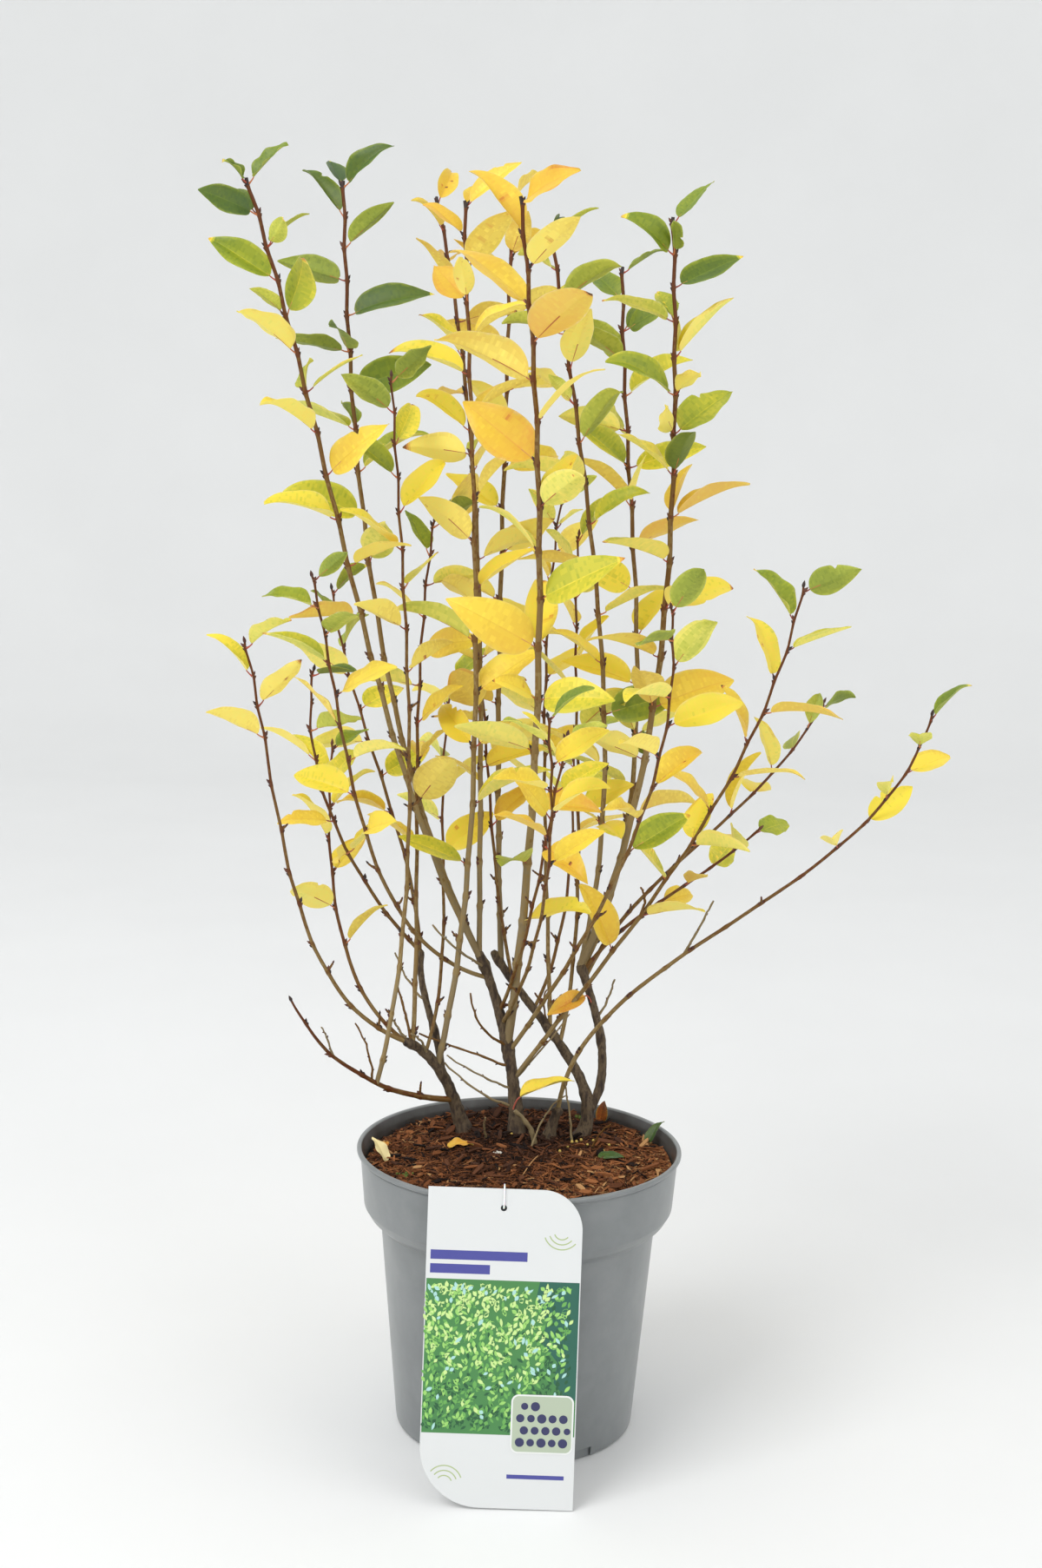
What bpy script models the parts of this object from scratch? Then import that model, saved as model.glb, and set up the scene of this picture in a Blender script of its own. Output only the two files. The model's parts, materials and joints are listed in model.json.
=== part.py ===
"""A young hedge shrub with many upright stems, in a round nursery pot with its plant label.

Metres, +Z up. The origin is the centre of the pot's flat underside, and -Y is the front.
Limbs are smooth curves from a foot on their parent limb to a tip, and each leafy mass is
the upper part of one shoot with its leaves fused on, alternately to one side and the other.
"""
import math
import random

import bmesh
import bpy
from mathutils import Matrix, Vector
from mathutils.bvhtree import BVHTree

MM = 0.001
GAP = 0.3 * MM
WELD = 0.02 * MM
FIRST_SEED = 100

# The pot: a tapered tub with a wide collar under a rolled lip, and a step below the collar.
SIDES = 48
POT_HEIGHT = 182 * MM
RIM_RADIUS = 103 * MM
COLLAR_RADIUS = 100.5 * MM
COLLAR_FOOT_RADIUS = 98 * MM
STEP_RADIUS = 87.5 * MM
BASE_RADIUS = 76 * MM
LIP_DEPTH = 5.5 * MM
COLLAR_FOOT = 146 * MM
STEP_HEIGHT = 134 * MM
WALL = 1.8 * MM
FLOOR = 2.5 * MM
EDGE_ROUND = 1.2 * MM
FOOT_ROUND = 2 * MM
NOTCHES = 5
NOTCH_WIDTH = 12 * MM
NOTCH_HEIGHT = 7 * MM
NOTCH_DEPTH = 9 * MM
FIRST_NOTCH = 17.0

# The compost: nearly up to the rim, with a low mound that the trunks stand on.
SOIL_EDGE = 168 * MM
SOIL_CLEAR = 0.6 * MM
SHOULDER_HEIGHT = 171 * MM
SHOULDER_CENTRE = (2 * MM, 17 * MM)
SHOULDER_RADIUS = 74 * MM
MOUND_TOP = 176 * MM
MOUND_CENTRE = (4 * MM, 38 * MM)
MOUND_RADIUS = 53 * MM

# The label: a card that stands on the floor and leans on the pot's lip, with a tie in its hole.
CARD_WIDTH = 92 * MM
CARD_LENGTH = 190.5 * MM
CARD_THICK = 0.8 * MM
CARD_LEFT = -56 * MM
CARD_FOOT_Y = -130.3 * MM
CARD_LEAN = 8.4
CARD_TURN = 0.8
CARD_TOP_CORNER = 24 * MM
CARD_FOOT_CORNER = 36 * MM
CORNER_STEPS = 8
HOLE_RADIUS = 2 * MM
HOLE_SIDES = 12
HOLE_PLACE = (45 * MM, 179 * MM)
TIE_THICK = 1.0 * MM
TIE_STAND = 1.25 * MM
TIE_BEHIND = 4.3 * MM

# How a limb's curve leaves its foot and comes to its tip, as shares of its straight reach.
OUT_HOLD = 0.30
END_HOLD = 0.36

# A limb stays stout for most of its length, by this power of the share along it.
TAPER = 1.6

# Leaves: alternate, near one plane, closer together, smaller and steeper near a shoot's tip.
PETIOLE = 5 * MM
PETIOLE_HALF = 0.65 * MM
LEAF_THICK = 0.9 * MM
LEAF_WIDTH = 0.62
LEAF_SHOULDER = 0.24
LEAF_WAIST = 0.56
LEAF_FULL = 0.9
FIRST_LEAF = 4 * MM
GAP_AT_TIP = 18 * MM
GAP_GROWTH = 0.055
YOUNG_SIZE = 0.74
YOUNG_REACH = 70 * MM
SIZE_SPREAD = 0.14
SPREAD = (36, 76)
YOUNG_SPREAD = 0.8
SIDE_TURN = 34
ROLL = 70
ARCH = (0.02, 0.24)
CLEAR = 0.8 * MM
LOWEST_LEAF = 188 * MM

# Where there is no room for a leaf it is turned, laid flatter and shrunk a little, this many times.
TRIES = 13
TRY_TURN = 14
TRY_SPREAD = 3
MOST_SPREAD = 84
TRY_SHRINK = 0.025

# How finely each kind of limb is modelled: its tube's sides, and the length of one piece.
TRUNK_SIDES, TRUNK_PIECE = 10, 12 * MM
BOUGH_SIDES, BOUGH_PIECE = 6, 45 * MM
TWIG_SIDES, TWIG_PIECE = 4, 38 * MM
FEWEST_PIECES = 4
BARE_BELOW_LEAVES = 6 * MM

# Trunks: name, parent and share of it where the limb starts (or None and its foot on the
# compost), tip, then lean and heading in degrees at foot and tip, then radii. Millimetres.
TRUNKS = [
    ("trunk_left", None, (-37, 42), (-75, 20, 243), (12, 180), (66, 210), (4.7, 2.7)),
    ("trunk_middle", None, (-2, 40), (-29, 48, 296), (4, 102), (24, 170), (4.7, 2.9)),
    ("trunk_cross", None, (40, 36), (-20, 74, 290), (32, 19), (36, 152), (4.2, 2.4)),
    ("trunk_short", None, (19, 31), (25, 32, 197), (8, 20), (16, 10), (4.0, 2.5)),
    ("trunk_right", "trunk_cross", 0.16, (37, 60, 286), (40, 12), (22, 176), (3.3, 2.5)),
    ("left_post", "trunk_left", 0.56, (-67, 52, 295), (10, 90), (11, 75), (2.8, 2.0)),
    ("low_branch", "trunk_left", 0.30, (-141, -45, 286), (82, 214), (30, 231), (2.3, 1.0)),
]
FLARE = 0.55
FLARE_LENGTH = 9 * MM
BURIED = 8 * MM

# Shoots: name, parent and share, tip, lean and heading at foot and tip, radii, then how
# far the leaves reach down from the tip, the leaves' length, and the heading of their plane.
SHOOTS = [
    ("tall_left", "trunk_middle", 0.92, (-173, -10, 775), (29, 192), (19, 202), (2.2, 1.1), 270, 41, 10),
    ("tall_front", "trunk_middle", 0.50, (-11, -80, 762), (14, 297), (17, 246), (2.5, 1.2), 470, 53, -20),
    ("tall_right", "trunk_right", 0.99, (80, 10, 759), (23, 348), (7, 239), (2.6, 1.2), 410, 46, 15),
    ("tall_centre", "trunk_left", 0.62, (-46, 50, 769), (13, 340), (6, 116), (2.3, 1.1), 440, 45, -10),
    ("tall_back", "trunk_cross", 0.93, (-18, 170, 782), (12, 106), (11, 88), (2.3, 1.1), 400, 44, 30),
    ("tall_left_back", "trunk_middle", 0.97, (-123, 80, 782), (28, 173), (4, 117), (2.1, 1.0), 250, 45, -15),
    ("tall_back_left", "trunk_middle", 0.99, (-67, 140, 778), (11, 96), (17, 140), (2.1, 1.0), 380, 44, 50),
    ("tall_mid_right", "trunk_right", 0.99, (8, 60, 751), (13, 2), (9, 177), (2.0, 1.0), 410, 44, -30),
    ("tall_right_back", "trunk_right", 0.96, (55, 120, 735), (27, 16), (8, 94), (2.0, 1.0), 360, 44, 0),
    ("left_mid", "low_branch", 0.42, (-88, 20, 662), (14, 354), (4, 197), (1.8, 0.8), 190, 39, 20),
    ("left_inner", "trunk_left", 0.92, (-63, 80, 571), (9, 73), (12, 52), (1.8, 0.8), 230, 39, -25),
    ("far_left", "trunk_left", 0.99, (-170, -40, 504), (68, 191), (18, 230), (1.6, 0.8), 62, 38, 5),
    ("low_left", "trunk_left", 0.97, (-126, 60, 428), (60, 170), (19, 83), (1.5, 0.8), 130, 37, 20),
    ("left_front", "trunk_middle", 0.86, (-127, -75, 547), (75, 196), (31, 252), (1.6, 0.8), 190, 38, -20),
    ("left_back", "left_post", 0.96, (-132, 120, 523), (17, 99), (18, 121), (1.5, 0.8), 170, 37, 35),
    ("front_right", "trunk_middle", 0.46, (78, -120, 537), (37, 317), (30, 254), (1.7, 0.8), 190, 40, 20),
    ("outer_right", "trunk_middle", 0.31, (161, -40, 544), (34, 341), (15, 301), (1.75, 0.8), 270, 40, -10),
    ("back_right", "trunk_right", 0.90, (201, 150, 450), (24, 21), (34, 34), (1.6, 0.8), 150, 38, 60),
    ("far_right", "trunk_short", 0.99, (241, -40, 469), (6, 0), (18, 300), (1.7, 0.8), 120, 36, 40),
]

# Short leafy shoots inside the crown, whose own stem reaches the limb that carries it.
SPRIGS = [
    ("left_low_front", "left_post", 0.99, (-132, -5, 484), (44, 200), (20, 301), (1.4, 0.8), 130, 37, -10),
    ("low_right", "trunk_right", 0.94, (148, 30, 384), (30, 350), (44, 343), (1.5, 0.8), 100, 37, 70),
    ("inner_left", "trunk_cross", 0.84, (-35, 90, 502), (16, 155), (10, 139), (1.4, 0.8), 130, 38, 30),
    ("inner_back_left", "trunk_left", 0.78, (-51, 160, 462), (24, 46), (27, 68), (1.4, 0.8), 130, 38, -40),
    ("back_centre", "trunk_cross", 0.59, (20, 190, 583), (21, 95), (22, 70), (1.7, 0.8), 230, 39, 10),
    ("inner_right", "trunk_cross", 0.52, (31, 120, 562), (16, 40), (12, 78), (1.6, 0.8), 190, 40, -35),
    ("back_low", "trunk_cross", 0.70, (34, 220, 415), (50, 60), (37, 89), (1.4, 0.8), 100, 37, 20),
    ("front_low", "trunk_middle", 0.62, (10, -160, 480), (50, 290), (40, 262), (1.5, 0.8), 150, 39, 5),
    ("front_inner", "trunk_middle", 0.68, (23, -60, 455), (36, 300), (26, 290), (1.4, 0.8), 100, 38, -30),
]

WOOD_COLOUR = (0.16, 0.12, 0.085, 1)
OLD_WOOD_COLOUR = (0.10, 0.08, 0.07, 1)
LEAF_COLOUR = (0.72, 0.52, 0.06, 1)
POT_COLOUR = (0.20, 0.21, 0.215, 1)
SOIL_COLOUR = (0.085, 0.035, 0.02, 1)
CARD_COLOUR = (0.86, 0.87, 0.87, 1)


def material(name, colour, roughness):
    """A plain Principled material."""
    made = bpy.data.materials.new(name)
    made.use_nodes = True
    shader = made.node_tree.nodes["Principled BSDF"]
    shader.inputs["Base Color"].default_value = colour
    shader.inputs["Roughness"].default_value = roughness
    return made


def new_object(name, mesh, collection, finish=None):
    """An object of this mesh in a collection."""
    made = bpy.data.objects.new(name, mesh)
    collection.objects.link(made)
    if finish:
        mesh.materials.append(finish)
    return made


def direction(lean, toward):
    """The unit vector that leans from upright by lean degrees, towards a heading from +X."""
    lean, toward = math.radians(lean), math.radians(toward)
    return Vector((math.sin(lean) * math.cos(toward), math.sin(lean) * math.sin(toward), math.cos(lean)))


class Limb:
    """A tapering limb along a cubic curve, with its length measured."""

    STEPS = 60

    def __init__(self, foot, tip, out, end, radii):
        reach = (tip - foot).length
        self.points = (foot, foot + direction(*out) * reach * OUT_HOLD, tip - direction(*end) * reach * END_HOLD, tip)
        self.radii = radii
        self.lengths = [0.0]
        for i in range(self.STEPS):
            step = self.at((i + 1) / self.STEPS) - self.at(i / self.STEPS)
            self.lengths.append(self.lengths[-1] + step.length)
        self.length = self.lengths[-1]

    def at(self, t):
        a, b, c, d = self.points
        u = 1 - t
        return a * u**3 + b * (3 * u * u * t) + c * (3 * u * t * t) + d * t**3

    def along(self, t):
        a, b, c, d = self.points
        u = 1 - t
        return ((b - a) * u * u + (c - b) * (2 * u * t) + (d - c) * t * t).normalized()

    def share(self, length):
        """The curve's parameter at a length from the foot."""
        for i in range(self.STEPS):
            if self.lengths[i + 1] >= length:
                part = (length - self.lengths[i]) / (self.lengths[i + 1] - self.lengths[i])
                return (i + part) / self.STEPS
        return 1.0

    def radius(self, t):
        return self.radii[0] + (self.radii[1] - self.radii[0]) * max(0.0, t) ** TAPER


def closed_mesh(obj):
    """Takes a curve object's mesh with its caps welded on, and removes the object."""
    mesh = bpy.data.meshes.new_from_object(obj.evaluated_get(bpy.context.evaluated_depsgraph_get()))
    bm = bmesh.new()
    bm.from_mesh(mesh)
    bmesh.ops.remove_doubles(bm, verts=bm.verts, dist=0.01 * MM)
    bmesh.ops.recalc_face_normals(bm, faces=bm.faces)
    bm.to_mesh(mesh)
    bm.free()
    curve = obj.data
    bpy.data.objects.remove(obj)
    bpy.data.curves.remove(curve)
    return mesh


def poly_line(curve, points, radii=None, cyclic=False):
    """Adds one straight-sided spline to a curve."""
    line = curve.splines.new("POLY")
    line.points.add(len(points) - 1)
    for i, (target, point) in enumerate(zip(line.points, points)):
        target.co = (*point, 1) if len(point) == 3 else (*point, 0, 1)
        target.radius = radii[i] if radii else 1
    line.use_cyclic_u = cyclic


def round_bar(name, points, radii, sides, collection):
    """The closed mesh of a bar with this many sides, as thick at each point as radii say."""
    curve = bpy.data.curves.new(name, "CURVE")
    curve.dimensions = "3D"
    curve.bevel_depth = 1
    curve.bevel_resolution = (sides - 4) // 2
    curve.use_fill_caps = True
    poly_line(curve, points, radii)
    return closed_mesh(new_object(name, curve, collection))


def tube(limb, name, sides, start, stop, piece, collection, grow=0.0):
    """A limb's tube from one length to another, fatter and longer by grow."""
    count = max(FEWEST_PIECES, round((stop - start) / piece))
    points, radii = [], []
    for i in range(count + 1):
        length = start + (stop - start) * i / count
        t = limb.share(length)
        flare = FLARE * math.exp(-max(0.0, length) / FLARE_LENGTH) if start < 0 else 0
        end = {0: -grow, count: grow}.get(i, 0)
        points.append(limb.at(t) + limb.along(t) * end)
        radii.append(limb.radius(t) * (1 + flare) + grow)
    return round_bar(name, points, radii, sides, collection)


def boolean(target, operation, cutter=None, group=None):
    """Applies one exact Boolean to an object, with another object or a collection."""
    change = target.modifiers.new("change", "BOOLEAN")
    change.operation = operation
    change.solver = "EXACT"
    if group:
        change.operand_type = "COLLECTION"
        change.collection = group
    else:
        change.object = cutter
    mesh = bpy.data.meshes.new_from_object(target.evaluated_get(bpy.context.evaluated_depsgraph_get()))
    target.modifiers.remove(change)
    target.data = mesh


def drop_scraps(bm):
    """Deletes every loose part but the one with the most vertices."""
    parts, seen = [], set()
    for vert in bm.verts:
        if vert in seen:
            continue
        part, queue = [], [vert]
        seen.add(vert)
        while queue:
            here = queue.pop()
            part.append(here)
            for edge in here.link_edges:
                there = edge.other_vert(here)
                if there not in seen:
                    seen.add(there)
                    queue.append(there)
        parts.append(part)
    for part in sorted(parts, key=len)[:-1]:
        bmesh.ops.delete(bm, geom=part, context="VERTS")


def close_up(obj):
    """Leaves one closed part in triangles, with close points welded where it stays closed."""
    for distance, corners in ((WELD, "BEAUTY"), (WELD, "EAR_CLIP"), (0, "EAR_CLIP"), (0, "BEAUTY")):
        bm = bmesh.new()
        bm.from_mesh(obj.data)
        if distance:
            bmesh.ops.remove_doubles(bm, verts=bm.verts, dist=distance)
        drop_scraps(bm)
        bmesh.ops.triangulate(bm, faces=bm.faces, quad_method="FIXED", ngon_method=corners)
        closed = all(edge.is_manifold for edge in bm.edges)
        if closed:
            bm.to_mesh(obj.data)
        bm.free()
        if closed:
            return


def remove(objects):
    for obj in list(objects):
        bpy.data.objects.remove(obj)


def grow_leaf(foot, out, up, length, arch, name, grow=0.0, whole=True):
    """A thin ovate blade on its petiole, in three-sided sections. Its root lies inside the stem.

    grow widens it on all sides, and without whole it leaves out the root, for testing its space.
    """
    across = up.cross(out).normalized()
    up = out.cross(across)
    start = 0.0 if whole else PETIOLE * 0.6
    width = length * LEAF_WIDTH / 2
    sections = [
        (start, PETIOLE_HALF, PETIOLE_HALF),
        (PETIOLE + length * LEAF_SHOULDER, width * LEAF_FULL, LEAF_THICK * 0.8),
        (PETIOLE + length * LEAF_WAIST, width * LEAF_FULL, LEAF_THICK),
    ]
    bm = bmesh.new()
    rings = []
    for reach, half, depth in sections:
        bend = -arch * max(0.0, reach - PETIOLE) ** 2 / length
        centre = foot + out * reach + up * bend
        half, depth = half + grow, depth + grow
        corners = (centre + across * half + up * grow, centre - across * half + up * grow, centre - up * depth)
        rings.append([bm.verts.new(corner) for corner in corners])
    point = bm.verts.new(foot + out * (PETIOLE + length + grow) - up * (arch * length))
    for i in range(3):
        j = (i + 1) % 3
        for low, high in zip(rings, rings[1:]):
            bm.faces.new((low[i], low[j], high[j], high[i]))
        bm.faces.new((rings[-1][i], rings[-1][j], point))
    bm.faces.new(list(reversed(rings[0])))
    bmesh.ops.triangulate(bm, faces=bm.faces)
    bmesh.ops.recalc_face_normals(bm, faces=bm.faces)
    mesh = bpy.data.meshes.new(name)
    bm.to_mesh(mesh)
    bm.free()
    return mesh


class Space:
    """What is already there, in millimetres, so that a new leaf can be kept clear of it."""

    def __init__(self):
        self.held = []

    @staticmethod
    def reach(points):
        return [(min(p[k] for p in points), max(p[k] for p in points)) for k in range(3)]

    def add(self, mesh, owner=None):
        points = [v.co / MM for v in mesh.vertices]
        tree = BVHTree.FromPolygons(points, [tuple(p.vertices) for p in mesh.polygons])
        self.held.append((self.reach(points), tree, owner))

    def free(self, mesh, rootless, owner):
        """Whether a leaf is clear of all but its own stem, and its blade is clear of that too."""
        faces = [tuple(p.vertices) for p in mesh.polygons]
        points, blade = ([v.co / MM for v in m.vertices] for m in (mesh, rootless))
        box = self.reach(points)
        trees = [BVHTree.FromPolygons(corners, faces) for corners in (points, blade)]
        for other, held, stem in self.held:
            apart = any(box[k][0] > other[k][1] or box[k][1] < other[k][0] for k in range(3))
            if not apart and trees[stem == owner].overlap(held):
                return False
        return box[2][0] > LOWEST_LEAF / MM


def leaf_places(limb, leafy):
    """Lengths from the foot where leaves stand, from the tip down."""
    below, places = FIRST_LEAF, []
    while below < leafy:
        places.append(limb.length - below)
        below += GAP_AT_TIP + GAP_GROWTH * below
    return places


def grow_leaves(name, limb, leafy, size, plane, seed, space, collection):
    """Leaves on one shoot, each tried at a few turns and skipped where there is no room."""
    rng = random.Random(seed)
    for number, place in enumerate(leaf_places(limb, leafy)):
        t = limb.share(place)
        foot, along = limb.at(t), limb.along(t)
        grown = min(1.0, (limb.length - place) / YOUNG_REACH)
        length = size * (YOUNG_SIZE + (1 - YOUNG_SIZE) * grown) * rng.uniform(1 - SIZE_SPREAD, 1 + SIZE_SPREAD)
        side = plane + (180 if number % 2 else 0) + rng.uniform(-SIDE_TURN, SIDE_TURN)
        spread, roll, arch = rng.uniform(*SPREAD), rng.uniform(-ROLL, ROLL), rng.uniform(*ARCH)
        spread *= YOUNG_SPREAD + (1 - YOUNG_SPREAD) * grown
        for attempt in range(TRIES):
            turn = (attempt + 1) // 2 * TRY_TURN * (1 if attempt % 2 else -1)
            outward = direction(90, side + turn)
            outward = (outward - along * outward.dot(along)).normalized()
            angle = math.radians(min(MOST_SPREAD, spread + TRY_SPREAD * attempt))
            out = along * math.cos(angle) + outward * math.sin(angle)
            rolled = math.radians(roll * (1 - attempt / TRIES))
            up = Matrix.Rotation(rolled, 3, out) @ (Vector((0, 0, 3)) + along)
            shape = (foot, out, up, length * (1 - TRY_SHRINK * attempt), arch, name + "_leaf")
            tests = [grow_leaf(*shape, CLEAR, whole) for whole in (True, False)]
            room = space.free(*tests, name)
            for test in tests:
                bpy.data.meshes.remove(test)
            if room:
                leaf = grow_leaf(*shape)
                space.add(leaf)
                new_object(leaf.name, leaf, collection)
                break


def pot_profile():
    """The pot's section from the middle of its floor, up the inside and down the outside."""
    inner = [
        (0, FLOOR),
        (BASE_RADIUS - WALL, FLOOR),
        (STEP_RADIUS - WALL, STEP_HEIGHT),
        (COLLAR_FOOT_RADIUS - WALL, COLLAR_FOOT),
        (COLLAR_RADIUS - WALL, POT_HEIGHT - EDGE_ROUND),
        (COLLAR_RADIUS - WALL + EDGE_ROUND, POT_HEIGHT),
    ]
    outer = [
        (RIM_RADIUS - EDGE_ROUND, POT_HEIGHT),
        (RIM_RADIUS, POT_HEIGHT - EDGE_ROUND),
        (RIM_RADIUS, POT_HEIGHT - LIP_DEPTH + EDGE_ROUND),
        (RIM_RADIUS - EDGE_ROUND, POT_HEIGHT - LIP_DEPTH),
        (COLLAR_RADIUS, POT_HEIGHT - LIP_DEPTH - EDGE_ROUND),
        (COLLAR_FOOT_RADIUS, COLLAR_FOOT - EDGE_ROUND),
        (COLLAR_FOOT_RADIUS - 2 * EDGE_ROUND, COLLAR_FOOT - 4 * EDGE_ROUND),
        (STEP_RADIUS + EDGE_ROUND, STEP_HEIGHT),
        (STEP_RADIUS, STEP_HEIGHT - 2 * EDGE_ROUND),
        (BASE_RADIUS, FOOT_ROUND),
        (BASE_RADIUS - FOOT_ROUND, 0),
        (0, 0),
    ]
    return inner + outer


def build_pot(collection, cutters, finish):
    """The turned shell, with drainage notches cut in the edge of its foot."""
    mesh = bpy.data.meshes.new("pot")
    points = pot_profile()
    mesh.from_pydata([(r, 0, z) for r, z in points], [(i, i + 1) for i in range(len(points) - 1)], [])
    pot = new_object("pot", mesh, collection, finish)
    turn = pot.modifiers.new("turn", "SCREW")
    turn.steps = turn.render_steps = SIDES
    turn.use_merge_vertices = True
    turn.merge_threshold = 0.00005
    turn.use_smooth_shade = False
    pot.data = bpy.data.meshes.new_from_object(pot.evaluated_get(bpy.context.evaluated_depsgraph_get()))
    pot.modifiers.clear()
    for i in range(NOTCHES):
        bpy.ops.mesh.primitive_cube_add(size=1)
        cutter = bpy.context.object
        cutter.name = "notch_cutter"
        cutter.scale = (NOTCH_DEPTH * 2, NOTCH_WIDTH, NOTCH_HEIGHT * 2)
        angle = math.radians(FIRST_NOTCH + 360 * i / NOTCHES)
        cutter.rotation_euler.z = angle
        cutter.location = (BASE_RADIUS * math.cos(angle), BASE_RADIUS * math.sin(angle), 0)
        for group in list(cutter.users_collection):
            group.objects.unlink(cutter)
        cutters.objects.link(cutter)
    bpy.context.view_layer.update()
    boolean(pot, "DIFFERENCE", group=cutters)
    remove(cutters.objects)
    close_up(pot)
    pot.data.shade_smooth()
    pot.data.set_sharp_from_angle(angle=math.radians(30))
    return pot


def circle(centre, radius, height):
    turn = 2 * math.pi / SIDES
    x, y = centre
    return [(x + radius * math.cos(turn * i), y + radius * math.sin(turn * i), height) for i in range(SIDES)]


def build_soil(collection, finish):
    """The compost fills the pot just clear of its wall, and rises to a mound behind the middle."""
    inset = WALL + SOIL_CLEAR
    rise = (SOIL_EDGE - COLLAR_FOOT) / (POT_HEIGHT - COLLAR_FOOT)
    edge = COLLAR_FOOT_RADIUS + (COLLAR_RADIUS - COLLAR_FOOT_RADIUS) * rise
    rings = [
        circle((0, 0), BASE_RADIUS - inset, FLOOR + GAP),
        circle((0, 0), STEP_RADIUS - inset, STEP_HEIGHT + GAP),
        circle((0, 0), COLLAR_FOOT_RADIUS - inset, COLLAR_FOOT + GAP),
        circle((0, 0), edge - inset, SOIL_EDGE),
        circle(SHOULDER_CENTRE, SHOULDER_RADIUS, SHOULDER_HEIGHT),
        circle(MOUND_CENTRE, MOUND_RADIUS, MOUND_TOP),
    ]
    bm = bmesh.new()
    loops = [[bm.verts.new(point) for point in ring] for ring in rings]
    for low, high in zip(loops, loops[1:]):
        for i in range(SIDES):
            j = (i + 1) % SIDES
            bm.faces.new((low[i], low[j], high[j], high[i]))
    bm.faces.new(list(reversed(loops[0])))
    bm.faces.new(loops[-1])
    mesh = bpy.data.meshes.new("soil")
    bm.to_mesh(mesh)
    bm.free()
    return new_object("soil", mesh, collection, finish)


def arc(centre, radius, start, sweep, steps):
    """Points along an arc, from start through sweep degrees."""
    angles = [math.radians(start + sweep * i / steps) for i in range(steps + 1)]
    return [(centre[0] + radius * math.cos(a), centre[1] + radius * math.sin(a)) for a in angles]


def card_outline():
    """The card from its square top left corner, with its top right and bottom left rounded."""
    foot, top = CARD_FOOT_CORNER, CARD_TOP_CORNER
    points = [(0, CARD_LENGTH)]
    points += arc((foot, foot), foot, 180, 90, CORNER_STEPS)
    points.append((CARD_WIDTH, 0))
    points += arc((CARD_WIDTH - top, CARD_LENGTH - top), top, 0, 90, CORNER_STEPS)
    return points


def card_place():
    """Where the card's lower left corner is, and how it leans back on the lip."""
    lean = Matrix.Rotation(math.radians(90 - CARD_LEAN), 4, "X")
    turn = Matrix.Rotation(math.radians(CARD_TURN), 4, "Y")
    lift = CARD_WIDTH * math.sin(math.radians(CARD_TURN)) + CARD_THICK / 2
    return Matrix.Translation((CARD_LEFT, CARD_FOOT_Y, lift)) @ turn @ lean


def build_card(collection, finish):
    curve = bpy.data.curves.new("label", "CURVE")
    curve.dimensions = "2D"
    curve.fill_mode = "BOTH"
    curve.extrude = CARD_THICK / 2
    poly_line(curve, card_outline(), cyclic=True)
    poly_line(curve, arc(HOLE_PLACE, HOLE_RADIUS, 0, 360, HOLE_SIDES)[1:], cyclic=True)
    card = new_object("label", closed_mesh(new_object("label", curve, collection)), collection, finish)
    card.matrix_world = card_place()
    return card


def build_tie(collection, finish):
    """The loop that holds the card: through its hole, over its top edge and in behind the lip."""
    place = card_place()
    x, y = HOLE_PLACE
    top, over = CARD_LENGTH, CARD_LENGTH + TIE_STAND + TIE_THICK / 2
    route = [(y, -TIE_STAND), (y, TIE_STAND * 0.4), (y + TIE_THICK, TIE_STAND), (y + (top - y) * 0.6, TIE_STAND)]
    route += [(top + TIE_THICK / 2, TIE_STAND), (over, 0), (over, -TIE_BEHIND)]
    points = [place @ Vector((x, along, out)) for along, out in route]
    mesh = round_bar("label_tie", points, [TIE_THICK / 2] * len(points), 8, collection)
    return new_object("label_tie", mesh, collection, finish)


def place_limbs():
    """Every limb's curve, worked out from its row and its parent's curve."""
    limbs, parents = {}, {}
    for name, parent, *rest in TRUNKS + SHOOTS + SPRIGS:
        if parent is None:
            foot = Vector((rest[0][0] * MM, rest[0][1] * MM, MOUND_TOP + GAP))
            tip, out, end, radii = rest[1:5]
        else:
            foot = limbs[parent].at(rest[0])
            tip, out, end, radii = rest[1:5]
        radii = tuple(r * MM for r in radii)
        limbs[name] = Limb(foot, Vector(tip) * MM, out, end, radii)
        parents[name] = parent
    return limbs, parents


def cut_clear(piece, name, parents, elders, cutters):
    """Cuts a limb back where it would reach into its parent, or into an older limb at the fork."""
    if parents[name] is None:
        depth = 2 * RIM_RADIUS
        bpy.ops.mesh.primitive_cube_add(size=depth, location=(0, 0, MOUND_TOP + GAP - depth / 2))
        ground = bpy.context.object
        boolean(piece, "DIFFERENCE", ground)
        remove([ground])
    for other, shape in elders.items():
        if other == parents[name] or parents[other] == parents[name]:
            grown = tube(*shape, cutters, grow=GAP * 1.3)
            boolean(piece, "DIFFERENCE", new_object("cutter", grown, cutters))
            remove(cutters.objects)
    close_up(piece)


def build_trunks(limbs, parents, elders, space, plant, cutters, finish):
    """The old wood: trunks from the compost, and the limbs that fork from them low down."""
    for name, parent, *_ in TRUNKS:
        limb = limbs[name]
        shape = (limb, name, TRUNK_SIDES, 0 if parent else -BURIED, limb.length, TRUNK_PIECE)
        piece = new_object(name, tube(*shape, plant), plant, finish)
        cut_clear(piece, name, parents, elders, cutters)
        elders[name] = shape
        space.add(piece.data)


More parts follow.
